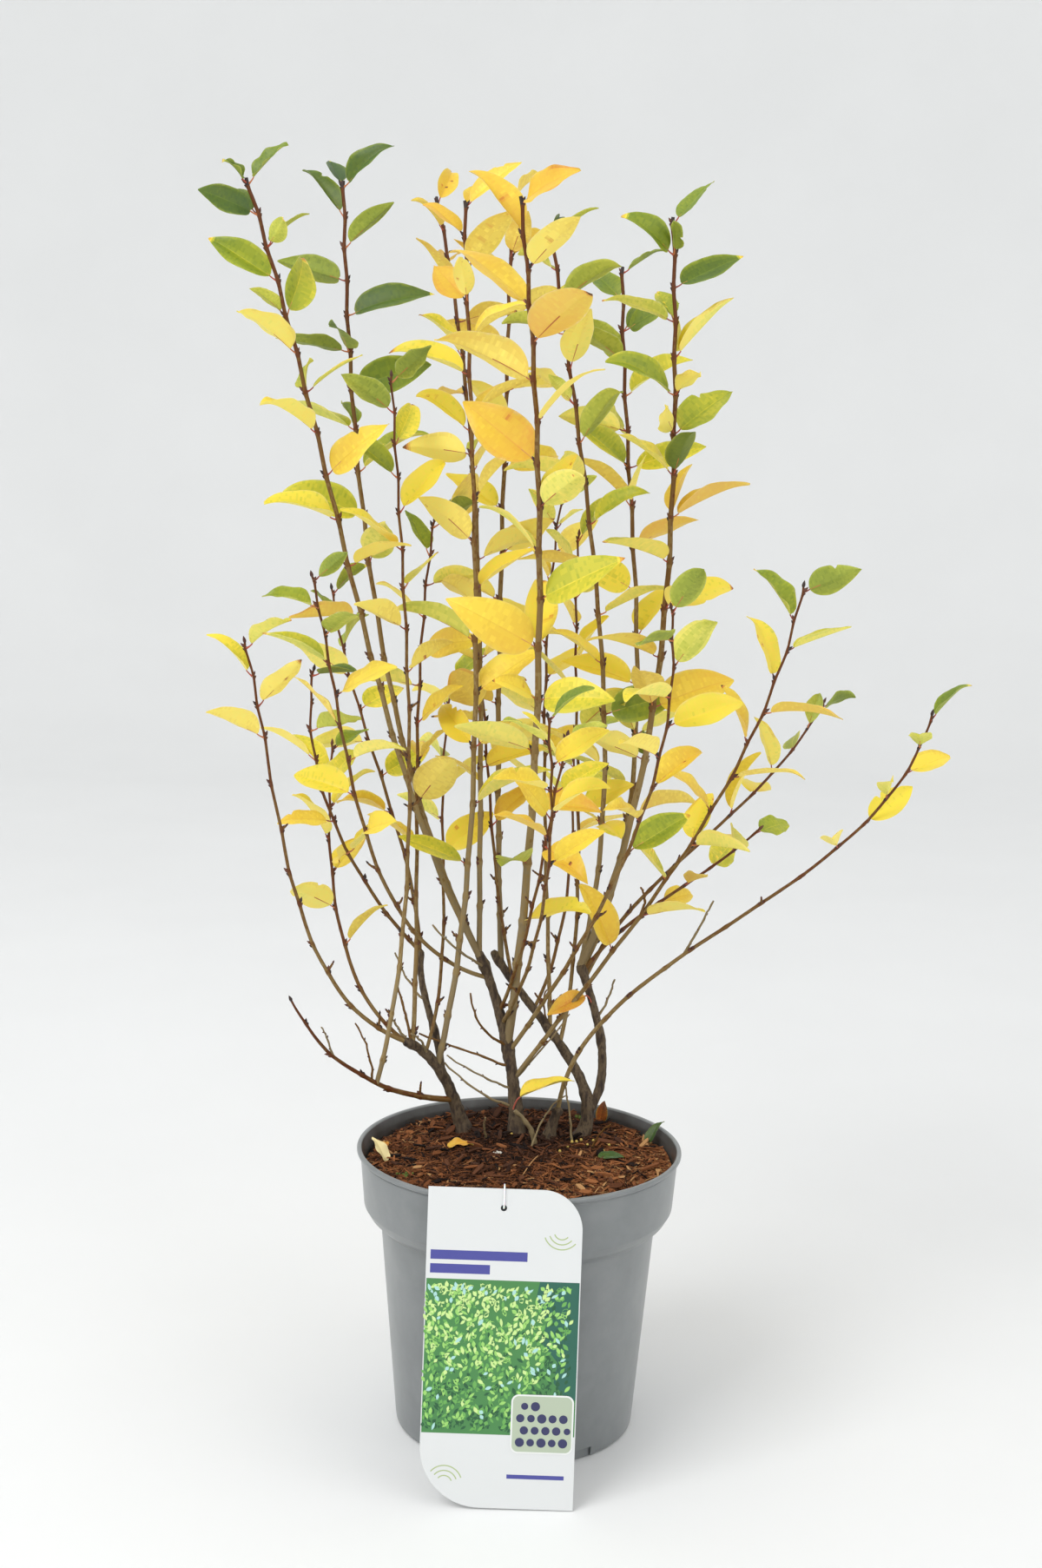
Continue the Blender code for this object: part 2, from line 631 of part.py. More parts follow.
def build_shoots(limbs, parents, elders, space, plant, cutters, wood, leaf):
    """Each shoot's bare bough, and above it the twig that its leaves will be joined to."""
    twigs = {}
    for row in SHOOTS + SPRIGS:
        name, limb = row[0], limbs[row[0]]
        start = 0
        if row in SHOOTS:
            start = limb.length - row[7] * MM - BARE_BELOW_LEAVES
            shape = (limb, name, BOUGH_SIDES, 0, start - GAP, BOUGH_PIECE)
            bough = new_object("bough_" + name, tube(*shape, plant), plant, wood)
            cut_clear(bough, name, parents, elders, cutters)
            elders[name] = shape
            space.add(bough.data)
        shape = (limb, name, TWIG_SIDES, start, limb.length, TWIG_PIECE)
        twigs[name] = new_object("leaves_" + name, tube(*shape, plant), plant, leaf)
        if row in SPRIGS:
            cut_clear(twigs[name], name, parents, elders, cutters)
            elders[name] = shape
        space.add(twigs[name].data, name)
    return twigs


def join_leaves(limbs, twigs, space):
    """Grows every shoot's leaves and joins them to its twig."""
    for number, row in enumerate(SHOOTS + SPRIGS):
        name, (leafy, size, plane) = row[0], row[7:10]
        group = bpy.data.collections.new("leaves_to_join")
        bpy.context.scene.collection.children.link(group)
        grow_leaves(name, limbs[name], leafy * MM, size * MM, plane, FIRST_SEED + number, space, group)
        boolean(twigs[name], "UNION", group=group)
        remove(group.objects)
        bpy.data.collections.remove(group)
        close_up(twigs[name])
        twigs[name].data.set_sharp_from_angle(angle=math.radians(35))


def main():
    remove(bpy.data.objects)
    plant = bpy.data.collections.new("potted_hedge_shrub")
    cutters = bpy.data.collections.new("cutters")
    for collection in (plant, cutters):
        bpy.context.scene.collection.children.link(collection)
    card = material("card", CARD_COLOUR, 0.35)
    build_pot(plant, cutters, material("pot_plastic", POT_COLOUR, 0.45))
    build_soil(plant, material("compost", SOIL_COLOUR, 0.95))
    build_card(plant, card)
    build_tie(plant, card)

    limbs, parents = place_limbs()
    space, elders = Space(), {}
    build_trunks(limbs, parents, elders, space, plant, cutters, material("old_wood", OLD_WOOD_COLOUR, 0.85))
    wood, leaf = material("wood", WOOD_COLOUR, 0.75), material("leaf", LEAF_COLOUR, 0.5)
    twigs = build_shoots(limbs, parents, elders, space, plant, cutters, wood, leaf)
    join_leaves(limbs, twigs, space)
    bpy.data.collections.remove(cutters)


if __name__ == "__main__":
    main()
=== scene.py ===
"""The looks of a young hedge shrub in autumn colour, in a round nursery pot with its label.

Every leaf stands where the solids have one: the tables of limbs and the growth rule are the
solids' own, written here again and carried on to buds, spurs, petioles and veined blades.
Metres, +Z up. -Y is the front. Sizes in tables are in millimetres.
"""
import json
import math
import random

import bpy
import numpy as np
from mathutils import Matrix, Vector, noise
from mathutils.kdtree import KDTree

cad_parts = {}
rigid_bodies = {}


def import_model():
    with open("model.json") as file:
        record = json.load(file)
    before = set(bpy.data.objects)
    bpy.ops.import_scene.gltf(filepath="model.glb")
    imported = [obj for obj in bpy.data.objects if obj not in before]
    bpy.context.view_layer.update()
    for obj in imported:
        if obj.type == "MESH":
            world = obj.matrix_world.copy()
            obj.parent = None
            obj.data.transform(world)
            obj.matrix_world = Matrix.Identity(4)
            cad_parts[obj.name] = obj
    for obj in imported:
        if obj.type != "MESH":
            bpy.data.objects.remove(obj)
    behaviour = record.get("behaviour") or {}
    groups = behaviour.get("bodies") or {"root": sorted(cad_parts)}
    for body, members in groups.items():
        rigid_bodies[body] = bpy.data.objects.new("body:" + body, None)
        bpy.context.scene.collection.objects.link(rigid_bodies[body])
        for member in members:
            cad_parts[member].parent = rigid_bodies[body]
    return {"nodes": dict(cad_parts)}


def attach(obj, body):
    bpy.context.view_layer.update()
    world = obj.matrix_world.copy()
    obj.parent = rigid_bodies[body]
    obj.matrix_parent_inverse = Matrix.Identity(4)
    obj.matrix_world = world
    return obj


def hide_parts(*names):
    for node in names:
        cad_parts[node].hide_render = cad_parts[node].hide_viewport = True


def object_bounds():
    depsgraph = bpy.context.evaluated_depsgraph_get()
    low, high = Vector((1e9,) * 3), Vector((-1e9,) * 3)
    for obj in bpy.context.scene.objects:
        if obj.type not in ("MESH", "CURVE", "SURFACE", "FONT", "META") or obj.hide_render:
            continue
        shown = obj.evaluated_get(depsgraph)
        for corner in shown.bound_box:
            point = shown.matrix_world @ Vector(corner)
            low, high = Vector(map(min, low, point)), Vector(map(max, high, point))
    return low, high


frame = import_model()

CAD_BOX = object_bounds()
BODY = "root"
MM = 0.001
SEED = 100

# The pot, the compost and the card, as in the solids.
POT_HEIGHT = 182
RIM_RADIUS = 103
COLLAR_RADIUS = 100.5
COLLAR_FOOT_RADIUS = 98
COLLAR_FOOT = 146
STEP_RADIUS = 87.5
STEP_HEIGHT = 134
BASE_RADIUS = 76
WALL = 1.8
FLOOR = 2.5
NOTCHES = 5
FIRST_NOTCH = 17.0
NOTCH_SIZE = (18, 12, 14)
SOIL_EDGE = 168
MOUND_TOP = 176
MOUND_CENTRE = (4, 38)
MOUND_FLAT = 36
MOUND_SLOPE = 66
CARD_WIDTH = 92
CARD_LENGTH = 190.5
CARD_THICK = 0.8
CARD_PLACE = (-56, -130.3)
CARD_LEAN = 8.4
CARD_TURN = 0.8
CARD_TOP_CORNER = 24
CARD_FOOT_CORNER = 36
HOLE_PLACE = (45, 179)
HOLE_RADIUS = 2
TIE_THICK = 1.0
TIE_STAND = 1.25
TIE_BEHIND = 4.3

# The growth rule, as in the solids.
OUT_HOLD = 0.30
END_HOLD = 0.36
TAPER = 1.6
PETIOLE = 5
LEAF_WIDTH = 0.62
FIRST_LEAF = 4
GAP_AT_TIP = 18
GAP_GROWTH = 0.055
YOUNG_SIZE = 0.74
YOUNG_REACH = 70
SIZE_SPREAD = 0.14
SPREAD = (36, 76)
YOUNG_SPREAD = 0.8
SIDE_TURN = 34
ROLL = 70
ARCH = (0.02, 0.24)
TRIES = 13
TRY_TURN = 14
TRY_SPREAD = 3
MOST_SPREAD = 84
TRY_SHRINK = 0.025
SAME_PLACE = 0.08
UPWARD = Vector((0, 0, 3))

# Trunks: name, parent and share of it where the limb starts (or None and its foot on the
# compost), tip, then lean and heading in degrees at foot and tip, then radii.
TRUNKS = [
    ("trunk_left", None, (-37, 42), (-75, 20, 243), (12, 180), (66, 210), (4.7, 2.7)),
    ("trunk_middle", None, (-2, 40), (-29, 48, 296), (4, 102), (24, 170), (4.7, 2.9)),
    ("trunk_cross", None, (40, 36), (-20, 74, 290), (32, 19), (36, 152), (4.2, 2.4)),
    ("trunk_short", None, (19, 31), (25, 32, 197), (8, 20), (16, 10), (4.0, 2.5)),
    ("trunk_right", "trunk_cross", 0.16, (37, 60, 286), (40, 12), (22, 176), (3.3, 2.5)),
    ("left_post", "trunk_left", 0.56, (-67, 52, 295), (10, 90), (11, 75), (2.8, 2.0)),
    ("low_branch", "trunk_left", 0.30, (-141, -45, 286), (82, 214), (30, 231), (2.3, 1.0)),
]

# Shoots: name, parent and share, tip, lean and heading at foot and tip, radii, then how
# far the leaves reach down from the tip, the leaves' length, and the heading of their plane.
SHOOTS = [
    ("tall_left", "trunk_middle", 0.92, (-173, -10, 775), (29, 192), (19, 202), (2.2, 1.1), 270, 41, 10),
    ("tall_front", "trunk_middle", 0.50, (-11, -80, 762), (14, 297), (17, 246), (2.5, 1.2), 470, 53, -20),
    ("tall_right", "trunk_right", 0.99, (80, 10, 759), (23, 348), (7, 239), (2.6, 1.2), 410, 46, 15),
    ("tall_centre", "trunk_left", 0.62, (-46, 50, 769), (13, 340), (6, 116), (2.3, 1.1), 440, 45, -10),
    ("tall_back", "trunk_cross", 0.93, (-18, 170, 782), (12, 106), (11, 88), (2.3, 1.1), 400, 44, 30),
    ("tall_left_back", "trunk_middle", 0.97, (-123, 80, 782), (28, 173), (4, 117), (2.1, 1.0), 250, 45, -15),
    ("tall_back_left", "trunk_middle", 0.99, (-67, 140, 778), (11, 96), (17, 140), (2.1, 1.0), 380, 44, 50),
    ("tall_mid_right", "trunk_right", 0.99, (8, 60, 751), (13, 2), (9, 177), (2.0, 1.0), 410, 44, -30),
    ("tall_right_back", "trunk_right", 0.96, (55, 120, 735), (27, 16), (8, 94), (2.0, 1.0), 360, 44, 0),
    ("left_mid", "low_branch", 0.42, (-88, 20, 662), (14, 354), (4, 197), (1.8, 0.8), 190, 39, 20),
    ("left_inner", "trunk_left", 0.92, (-63, 80, 571), (9, 73), (12, 52), (1.8, 0.8), 230, 39, -25),
    ("far_left", "trunk_left", 0.99, (-170, -40, 504), (68, 191), (18, 230), (1.6, 0.8), 62, 38, 5),
    ("low_left", "trunk_left", 0.97, (-126, 60, 428), (60, 170), (19, 83), (1.5, 0.8), 130, 37, 20),
    ("left_front", "trunk_middle", 0.86, (-127, -75, 547), (75, 196), (31, 252), (1.6, 0.8), 190, 38, -20),
    ("left_back", "left_post", 0.96, (-132, 120, 523), (17, 99), (18, 121), (1.5, 0.8), 170, 37, 35),
    ("front_right", "trunk_middle", 0.46, (78, -120, 537), (37, 317), (30, 254), (1.7, 0.8), 190, 40, 20),
    ("outer_right", "trunk_middle", 0.31, (161, -40, 544), (34, 341), (15, 301), (1.75, 0.8), 270, 40, -10),
    ("back_right", "trunk_right", 0.90, (201, 150, 450), (24, 21), (34, 34), (1.6, 0.8), 150, 38, 60),
    ("far_right", "trunk_short", 0.99, (241, -40, 469), (6, 0), (18, 300), (1.7, 0.8), 120, 36, 40),
]

# Short leafy shoots inside the crown.
SPRIGS = [
    ("left_low_front", "left_post", 0.99, (-132, -5, 484), (44, 200), (20, 301), (1.4, 0.8), 130, 37, -10),
    ("low_right", "trunk_right", 0.94, (148, 30, 384), (30, 350), (44, 343), (1.5, 0.8), 100, 37, 70),
    ("inner_left", "trunk_cross", 0.84, (-35, 90, 502), (16, 155), (10, 139), (1.4, 0.8), 130, 38, 30),
    ("inner_back_left", "trunk_left", 0.78, (-51, 160, 462), (24, 46), (27, 68), (1.4, 0.8), 130, 38, -40),
    ("back_centre", "trunk_cross", 0.59, (20, 190, 583), (21, 95), (22, 70), (1.7, 0.8), 230, 39, 10),
    ("inner_right", "trunk_cross", 0.52, (31, 120, 562), (16, 40), (12, 78), (1.6, 0.8), 190, 40, -35),
    ("back_low", "trunk_cross", 0.70, (34, 220, 415), (50, 60), (37, 89), (1.4, 0.8), 100, 37, 20),
    ("front_low", "trunk_middle", 0.62, (10, -160, 480), (50, 290), (40, 262), (1.5, 0.8), 150, 39, 5),
    ("front_inner", "trunk_middle", 0.68, (23, -60, 455), (36, 300), (26, 290), (1.4, 0.8), 100, 38, -30),
]

# How far autumn has gone on each shoot: the age of its leaves at the tip, and how far
# down from the tip they reach the age of the rest. Ages count along the leaf colours.
AUTUMN = {
    "tall_left": (1.5, 200), "tall_front": (8.1, 190), "tall_right": (4.6, 110), "tall_centre": (7.8, 140),
    "tall_back": (8.4, 150), "tall_left_back": (0.9, 340), "tall_back_left": (8.5, 160),
    "tall_mid_right": (2.7, 170), "tall_right_back": (2.2, 180), "left_mid": (1.8, 120),
    "left_inner": (2.4, 70), "far_left": (5.6, 60), "low_left": (4.6, 60), "left_front": (1.6, 110),
    "left_back": (1.6, 90), "front_right": (2.0, 90), "outer_right": (2.4, 100), "back_right": (2.2, 70),
    "far_right": (2.4, 60), "left_low_front": (2.2, 80),
}
INNER_AUTUMN = (3.6, 45)
RIPE_AGE = 6.7
RIPE_SPREAD = 0.8
OLDEST = 8.7
MIXED = {"tall_right": 2.0, "tall_front": 1.0, "tall_mid_right": 1.2, "tall_left": 0.9}
EVEN = 0.6

# Shoots that were cut back: their tips are thick and flat, and the others end in a bud.
CUT_SHOOTS = ("tall_left", "tall_front", "tall_right", "tall_centre", "tall_back", "tall_left_back",
              "tall_back_left", "tall_mid_right", "tall_right_back")
CUT_RADIUS = 1.1
FREE_RADIUS = 0.7
STOUTNESS = {"tall_front": 1.2, "tall_right": 0.95}
USUAL_STOUTNESS = 0.9

# Leaf colours from the youngest green to burnt brown, on the upper side and on the underside,
# which are spread to this many even steps.
TOP_COLOURS = [
    (59, 86, 39), (76, 101, 37), (95, 118, 37), (121, 139, 41), (153, 163, 47), (194, 188, 56),
    (236, 213, 70), (243, 210, 75), (226, 188, 64), (220, 174, 60), (216, 156, 58), (198, 122, 50),
    (146, 78, 42), (84, 50, 34),
]
UNDER_COLOURS = [
    (92, 111, 47), (110, 126, 49), (133, 147, 57), (162, 171, 70), (193, 196, 86), (226, 218, 108),
    (250, 229, 118), (253, 224, 112), (232, 198, 94), (228, 184, 90), (226, 172, 88), (204, 142, 80),
    (148, 88, 56), (92, 58, 40),
]
STEPS_BETWEEN = 3
RIB_COLOURS = [(184, 98, 60), (204, 142, 76), (230, 214, 158)]
PETIOLE_COLOURS = [(168, 74, 52), (142, 66, 48), (186, 110, 62)]
OLD_BARK = [(46, 34, 26), (72, 57, 42), (100, 84, 62), (60, 46, 34)]
OLD_BARK_GRAIN = 260
YOUNG_BARK = [(96, 51, 18), (110, 77, 34), (126, 101, 58), (140, 119, 78), (136, 119, 86)]
BUD_COLOURS = [(74, 36, 26), (94, 52, 34), (48, 30, 25)]
POT_OUTSIDE = [(110, 114, 115), (117, 121, 122), (124, 127, 128)]
# Darker shades for the inside wall: soil dirt, and painted shade below the rim.
POT_INSIDE = [(58, 56, 53), (76, 76, 75), (92, 93, 93)]


def srgb(red, green, blue):
    """A colour from its 0 to 255 values, as Blender's linear RGBA."""
    values = [c / 255 for c in (red, green, blue)]
    return (*[c / 12.92 if c <= 0.04045 else ((c + 0.055) / 1.055) ** 2.4 for c in values], 1)


def spread_colours(colours):
    """The colours with even steps between them."""
    spots = np.arange((len(colours) - 1) * STEPS_BETWEEN + 1) / STEPS_BETWEEN
    channels = [np.interp(spots, range(len(colours)), [c[k] for c in colours]) for k in range(3)]
    return [tuple(float(v) for v in colour) for colour in zip(*channels)]


# Materials

def shader_of(made):
    return made.node_tree.nodes["Principled BSDF"]


def principled(name, colour, roughness, **settings):
    """A Principled material with values on its own sockets."""
    made = bpy.data.materials.new(name)
    made.use_nodes = True
    inputs = shader_of(made).inputs
    inputs["Base Color"].default_value = srgb(*colour)
    inputs["Roughness"].default_value = roughness
    for key, value in settings.items():
        inputs[key.replace("_", " ")].default_value = value
    return made


def tinted(name, colours, roughness, **settings):
    """A numbered material for each colour."""
    return [principled(f"{name}_{i}", colour, roughness, **settings) for i, colour in enumerate(colours)]


def node(made, kind, **settings):
    """Adds a node and sets its inputs or properties by name."""
    new = made.node_tree.nodes.new(kind)
    for key, value in settings.items():
        label = key.replace("_", " ")
        if label in new.inputs:
            new.inputs[label].default_value = value
        else:
            setattr(new, key, value)
    return new


def noise_value(made, scale, detail=4.0, stretch=(1, 1, 1), roughness=0.6):
    """A noise pattern in the object's own space, stretched along its axes."""
    place = node(made, "ShaderNodeTexCoord")
    mapping = node(made, "ShaderNodeMapping", Scale=stretch)
    pattern = node(made, "ShaderNodeTexNoise", Scale=scale, Detail=detail, Roughness=roughness)
    links = made.node_tree.links
    links.new(place.outputs["Object"], mapping.inputs["Vector"])
    links.new(mapping.outputs["Vector"], pattern.inputs["Vector"])
    return pattern.outputs["Fac"]


def mottle(made, colours, value, low=0.35, high=0.65):
    """Colours spread along a pattern's value."""
    ramp = node(made, "ShaderNodeValToRGB")
    stops = ramp.color_ramp.elements
    while len(stops) < len(colours):
        stops.new(0.5)
    for i, (stop, colour) in enumerate(zip(stops, colours)):
        stop.position = low + (high - low) * i / (len(colours) - 1)
        stop.color = srgb(*colour)
    made.node_tree.links.new(value, ramp.inputs["Fac"])
    made.node_tree.links.new(ramp.outputs["Color"], shader_of(made).inputs["Base Color"])


def vary_roughness(made, value, low, high):
    """Roughness that follows a pattern's value."""
    spread = node(made, "ShaderNodeMapRange", To_Min=low, To_Max=high)
    made.node_tree.links.new(value, spread.inputs["Value"])
    made.node_tree.links.new(spread.outputs["Result"], shader_of(made).inputs["Roughness"])


def raise_bump(made, value, height_mm):
    """A bump of this height, on top of any bump that is there."""
    bump = node(made, "ShaderNodeBump", Strength=1.0, Distance=height_mm * MM)
    links = made.node_tree.links
    normal = shader_of(made).inputs["Normal"]
    if normal.is_linked:
        links.new(normal.links[0].from_socket, bump.inputs["Normal"])
    links.new(value, bump.inputs["Height"])
    links.new(bump.outputs["Normal"], normal)


def leaf_materials():
    """Upper sides, undersides and ribs, each tint a plain colour that lets some light through."""
    glow = {"Subsurface_Weight": 0.35, "Subsurface_Scale": 0.0012, "Specular_IOR_Level": 0.35}
    made = tinted("leaf_top", spread_colours(TOP_COLOURS), 0.45, **glow)
    made += tinted("leaf_under", spread_colours(UNDER_COLOURS), 0.62, **glow)
    made += tinted("leaf_rib", RIB_COLOURS, 0.5)
    for material in made:
        shader_of(material).inputs["Subsurface Radius"].default_value = (1.0, 0.9, 0.25)
    return made


def old_bark_material():
    """Bark in mottled colours, with fine cracks along the stem."""
    made = principled("old_bark", OLD_BARK[0], 0.78)
    mottle(made, OLD_BARK, noise_value(made, OLD_BARK_GRAIN, stretch=(1, 1, 0.35)))
    raise_bump(made, noise_value(made, OLD_BARK_GRAIN * 2.6, 6, (1, 1, 0.25), 0.7), 0.5)
    return made


def young_bark_materials():
    """Young bark from the tip down, then buds, then petioles."""
    made = []
    for i, colour in enumerate(YOUNG_BARK):
        made.append(principled(f"young_bark_{i}", colour, 0.5 + 0.06 * i, Specular_IOR_Level=0.3))
    made += tinted("bud", BUD_COLOURS, 0.55) + tinted("petiole", PETIOLE_COLOURS, 0.45)
    for material in made:
        raise_bump(material, noise_value(material, 900, 3, (1, 1, 0.4)), 0.05)
    return made


# Meshes

def place_object(name, data):
    made = bpy.data.objects.new(name, data)
    bpy.context.scene.collection.objects.link(made)
    return made


def new_mesh(name, points, faces, materials, tints):
    """A mesh from points in millimetres, faces as rows of corners, and a material's number a face."""
    mesh = bpy.data.meshes.new(name)
    mesh.from_pydata((np.asarray(points) * MM).tolist(), [], faces)
    for material in materials:
        mesh.materials.append(material)
    mesh.polygons.foreach_set("material_index", tints)
    return mesh


def baked(holder):
    """The mesh that an object makes, which takes the object's place."""
    mesh = bpy.data.meshes.new_from_object(holder.evaluated_get(bpy.context.evaluated_depsgraph_get()))
    bpy.data.objects.remove(holder)
    return mesh


class Pile:
    """Many small shapes, in millimetres, that become one mesh with a material's number a face."""

    def __init__(self):
        self.points = []
        self.faces = []
        self.tints = []
        self.count = 0

    def add_faces(self, faces, tints):
        """Faces whose corners count on from the points that are there; one tint, or one a face."""
        faces = np.asarray(faces, dtype=np.int64)
        self.faces.append(faces + self.count)
        self.tints.append(np.broadcast_to(np.asarray(tints, dtype=np.int32), (len(faces),)))

    def add(self, points, faces, tints):
        self.add_faces(faces, tints)
        self.points.append(np.asarray(points, dtype=np.float64))
        self.count += len(points)

    def add_rings(self, points, sides, tints):
        """Rings of points with faces between them, and a flat face at either end."""
        last = len(points) - sides
        tints = np.broadcast_to(tints, (last,))
        self.add_faces([range(sides)[::-1]], tints[0])
        self.add_faces([range(last, last + sides)], tints[-1])
        self.add(points, ring_faces(len(points) // sides, sides), tints)

    def build(self, name, materials, slot, replaced=(), sharp=None):
        """Makes the piece, which rides on the plant's body."""
        faces = [row for block in self.faces for row in block.tolist()]
        tints = np.concatenate(self.tints).astype(np.int32)
        mesh = new_mesh(name, np.vstack(self.points), faces, materials, tints)
        finish_piece(name, mesh, replaced, sharp)


def finish_piece(name, mesh, replaced=(), sharp=None):
    """Shades a mesh smooth, sharp where it turns by more than an angle, and makes it a piece."""
    mesh.update()
    mesh.shade_smooth()
    if sharp:
        mesh.set_sharp_from_angle(angle=math.radians(sharp))
    piece = place_object(name, mesh)
    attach(piece, BODY)
    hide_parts(*replaced)


def quads(grid):
    """Four-cornered faces between the numbers of a grid."""
    corners = (grid[:-1, :-1], grid[:-1, 1:], grid[1:, 1:], grid[1:, :-1])
    return np.stack(corners, axis=-1).reshape(-1, 4)


def ring_faces(rings, sides):
    """The faces between rings of points, each ring closed."""
    grid = np.arange(rings * sides).reshape(rings, sides)
    return quads(np.hstack((grid, grid[:, :1])))


def circle(radius, sides):
    """Points round the upright axis, from +X."""
    angles = [2 * math.pi * j / sides for j in range(sides)]
    return [(radius * math.cos(angle), radius * math.sin(angle)) for angle in angles]


def noise_at(x, y, z):
    return noise.noise(Vector((x, y, z)))


def hill(far, width):
    """1 at nought, falling away to either side."""
    return np.exp(-((far / width) ** 2))


def frames_along(centres):
    """Two directions square to a line at each of its points, without twist."""
    along = np.gradient(centres, axis=0)
    along /= np.linalg.norm(along, axis=1)[:, None]
    side = np.cross(along[0], (0.31, 0.95, 0.11))
    sides = []
    for direct in along:
        side = side - direct * side.dot(direct)
        side /= np.linalg.norm(side)
        sides.append(side)
    return np.array(sides), np.cross(along, sides)


def add_tube(pile, centres, radii, sides, tint, relief=0.0):
    """A round tube. radii is one a ring, relief one a point, tint one number or one a point."""
    centres = np.asarray(centres, dtype=float)
    u, v = frames_along(centres)
    turn = np.linspace(0, 2 * math.pi, sides, endpoint=False)[None, :, None]
    ring = u[:, None, :] * np.cos(turn) + v[:, None, :] * np.sin(turn)
    reach = np.asarray(radii, dtype=float)[:, None] + relief
    points = centres[:, None, :] + ring * reach[:, :, None]
    pile.add_rings(points.reshape(-1, 3), sides, tint[:-1].reshape(-1) if np.ndim(tint) else tint)


# Growth, the solids' own rule

def direction(lean, toward):
    """The unit vector that leans from upright by lean degrees, towards a heading from +X."""
    lean, toward = math.radians(lean), math.radians(toward)
    return Vector((math.sin(lean) * math.cos(toward), math.sin(lean) * math.sin(toward), math.cos(lean)))


def square_to(way, along):
    """The part of a way that is square to a limb, as a unit vector."""
    return (way - along * way.dot(along)).normalized()


def turned(degrees, axis):
    return Matrix.Rotation(math.radians(degrees), 3, axis)


class Limb:
    """A tapering limb along a cubic curve, in millimetres."""

    STEPS = 60

    def __init__(self, foot, tip, out, end, radii):
        reach = (tip - foot).length
        ahead, back = direction(*out) * reach * OUT_HOLD, direction(*end) * reach * END_HOLD
        self.points = (foot, foot + ahead, tip - back, tip)
        self.radii = radii
        self.lengths = [0.0]
        for i in range(self.STEPS):
            step = self.at((i + 1) / self.STEPS) - self.at(i / self.STEPS)
            self.lengths.append(self.lengths[-1] + step.length)
        self.length = self.lengths[-1]

    def at(self, t):
        a, b, c, d = self.points
        u = 1 - t
        return a * u**3 + b * (3 * u * u * t) + c * (3 * u * t * t) + d * t**3

    def along(self, t):
        a, b, c, d = self.points
        u = 1 - t
        return ((b - a) * u * u + (c - b) * (2 * u * t) + (d - c) * t * t).normalized()

    def share(self, length):
        """The curve's parameter at a length from the foot."""
        for i in range(self.STEPS):
            if self.lengths[i + 1] >= length:
                part = (length - self.lengths[i]) / (self.lengths[i + 1] - self.lengths[i])
                return (i + part) / self.STEPS
        return 1.0

    def at_length(self, length):
        """The point at a length from the foot, straight on past either end."""
        if length < 0:
            return self.at(0) + self.along(0) * length
        if length > self.length:
            return self.at(1) + self.along(1) * (length - self.length)
        return self.at(self.share(length))

    def radius(self, t):
        return self.radii[0] + (self.radii[1] - self.radii[0]) * max(0.0, t) ** TAPER


def place_limbs():
    """Every limb's curve, worked out from its row and its parent's curve."""
    limbs = {}
    for name, parent, *rest in TRUNKS + SHOOTS + SPRIGS:
        start, tip, out, end, radii = rest[:5]
        foot = Vector((*start, MOUND_TOP + 0.3)) if parent is None else limbs[parent].at(start)
        limbs[name] = Limb(foot, Vector(tip), out, end, radii)
    return limbs


def leaf_places(limb, leafy):
    """Lengths from the foot where leaves stand, from the tip down."""
    below, places = FIRST_LEAF, []
    while below < leafy:
        places.append(limb.length - below)
        below += GAP_AT_TIP + GAP_GROWTH * below
    return places


def node_points(name):
    """A tree of a CAD node's corners, in millimetres."""
    corners = frame["nodes"][name].data.vertices
    tree = KDTree(len(corners))
    for i, corner in enumerate(corners):
        tree.insert(corner.co / MM, i)
    tree.balance()
    return tree


def leaves_of(row, number, limb):
    """The leaves that the solids have, each with its foot, way out, upper side, length, arch and
    distance from the tip."""
    name, (leafy, size, plane) = row[0], row[7:10]
    rng = random.Random(SEED + number)
    corners = node_points("leaves_" + name)
    found = []
    for count, place in enumerate(leaf_places(limb, leafy)):
        t = limb.share(place)
        foot, along = limb.at(t), limb.along(t)
        grown = min(1.0, (limb.length - place) / YOUNG_REACH)
        length = size * (YOUNG_SIZE + (1 - YOUNG_SIZE) * grown)
        length *= rng.uniform(1 - SIZE_SPREAD, 1 + SIZE_SPREAD)
        side = plane + (180 if count % 2 else 0) + rng.uniform(-SIDE_TURN, SIDE_TURN)
        spread, roll, arch = rng.uniform(*SPREAD), rng.uniform(-ROLL, ROLL), rng.uniform(*ARCH)
        spread *= YOUNG_SPREAD + (1 - YOUNG_SPREAD) * grown
        for attempt in range(TRIES):
            turn = (attempt + 1) // 2 * TRY_TURN * (1 if attempt % 2 else -1)
            outward = square_to(direction(90, side + turn), along)
            angle = math.radians(min(MOST_SPREAD, spread + TRY_SPREAD * attempt))
            out = along * math.cos(angle) + outward * math.sin(angle)
            up = turned(roll * (1 - attempt / TRIES), out) @ (UPWARD + along)
            up = out.cross(up.cross(out).normalized())
            tried = length * (1 - TRY_SHRINK * attempt)
            tip = foot + out * (PETIOLE + tried) - up * (arch * tried)
            if corners.find(tip)[2] < SAME_PLACE:
                found.append((foot, out, up, tried, arch, limb.length - place))
                break
    return found


# Leaves

# How blades are made and how much they vary: angles in degrees, waves in millimetres.
ROWS = 34
HALF_STRIPS = 5
RIB = 0.032
BLADE_THICK = 0.26
VEINS = 6.5
VEIN_SLANT = 0.24
QUILT = 0.07
WIDTHS = (0.86, 1.02)
ROUNDNESS = 0.54
POINTEDNESS = (0.9, 1.12)
BITTEN = 0.10
BENDS = (-4, 30)
HOOKS = (-5, 38)
TWIST = 22
FOLDS = (12, 56)
WAVES = (0.15, 0.95)
CROSS_WAVE = 0.45
BURNT = (len(TOP_COLOURS) - 1) * STEPS_BETWEEN
TOP, UNDER, RIBS = 0, BURNT + 1, 2 * (BURNT + 1)


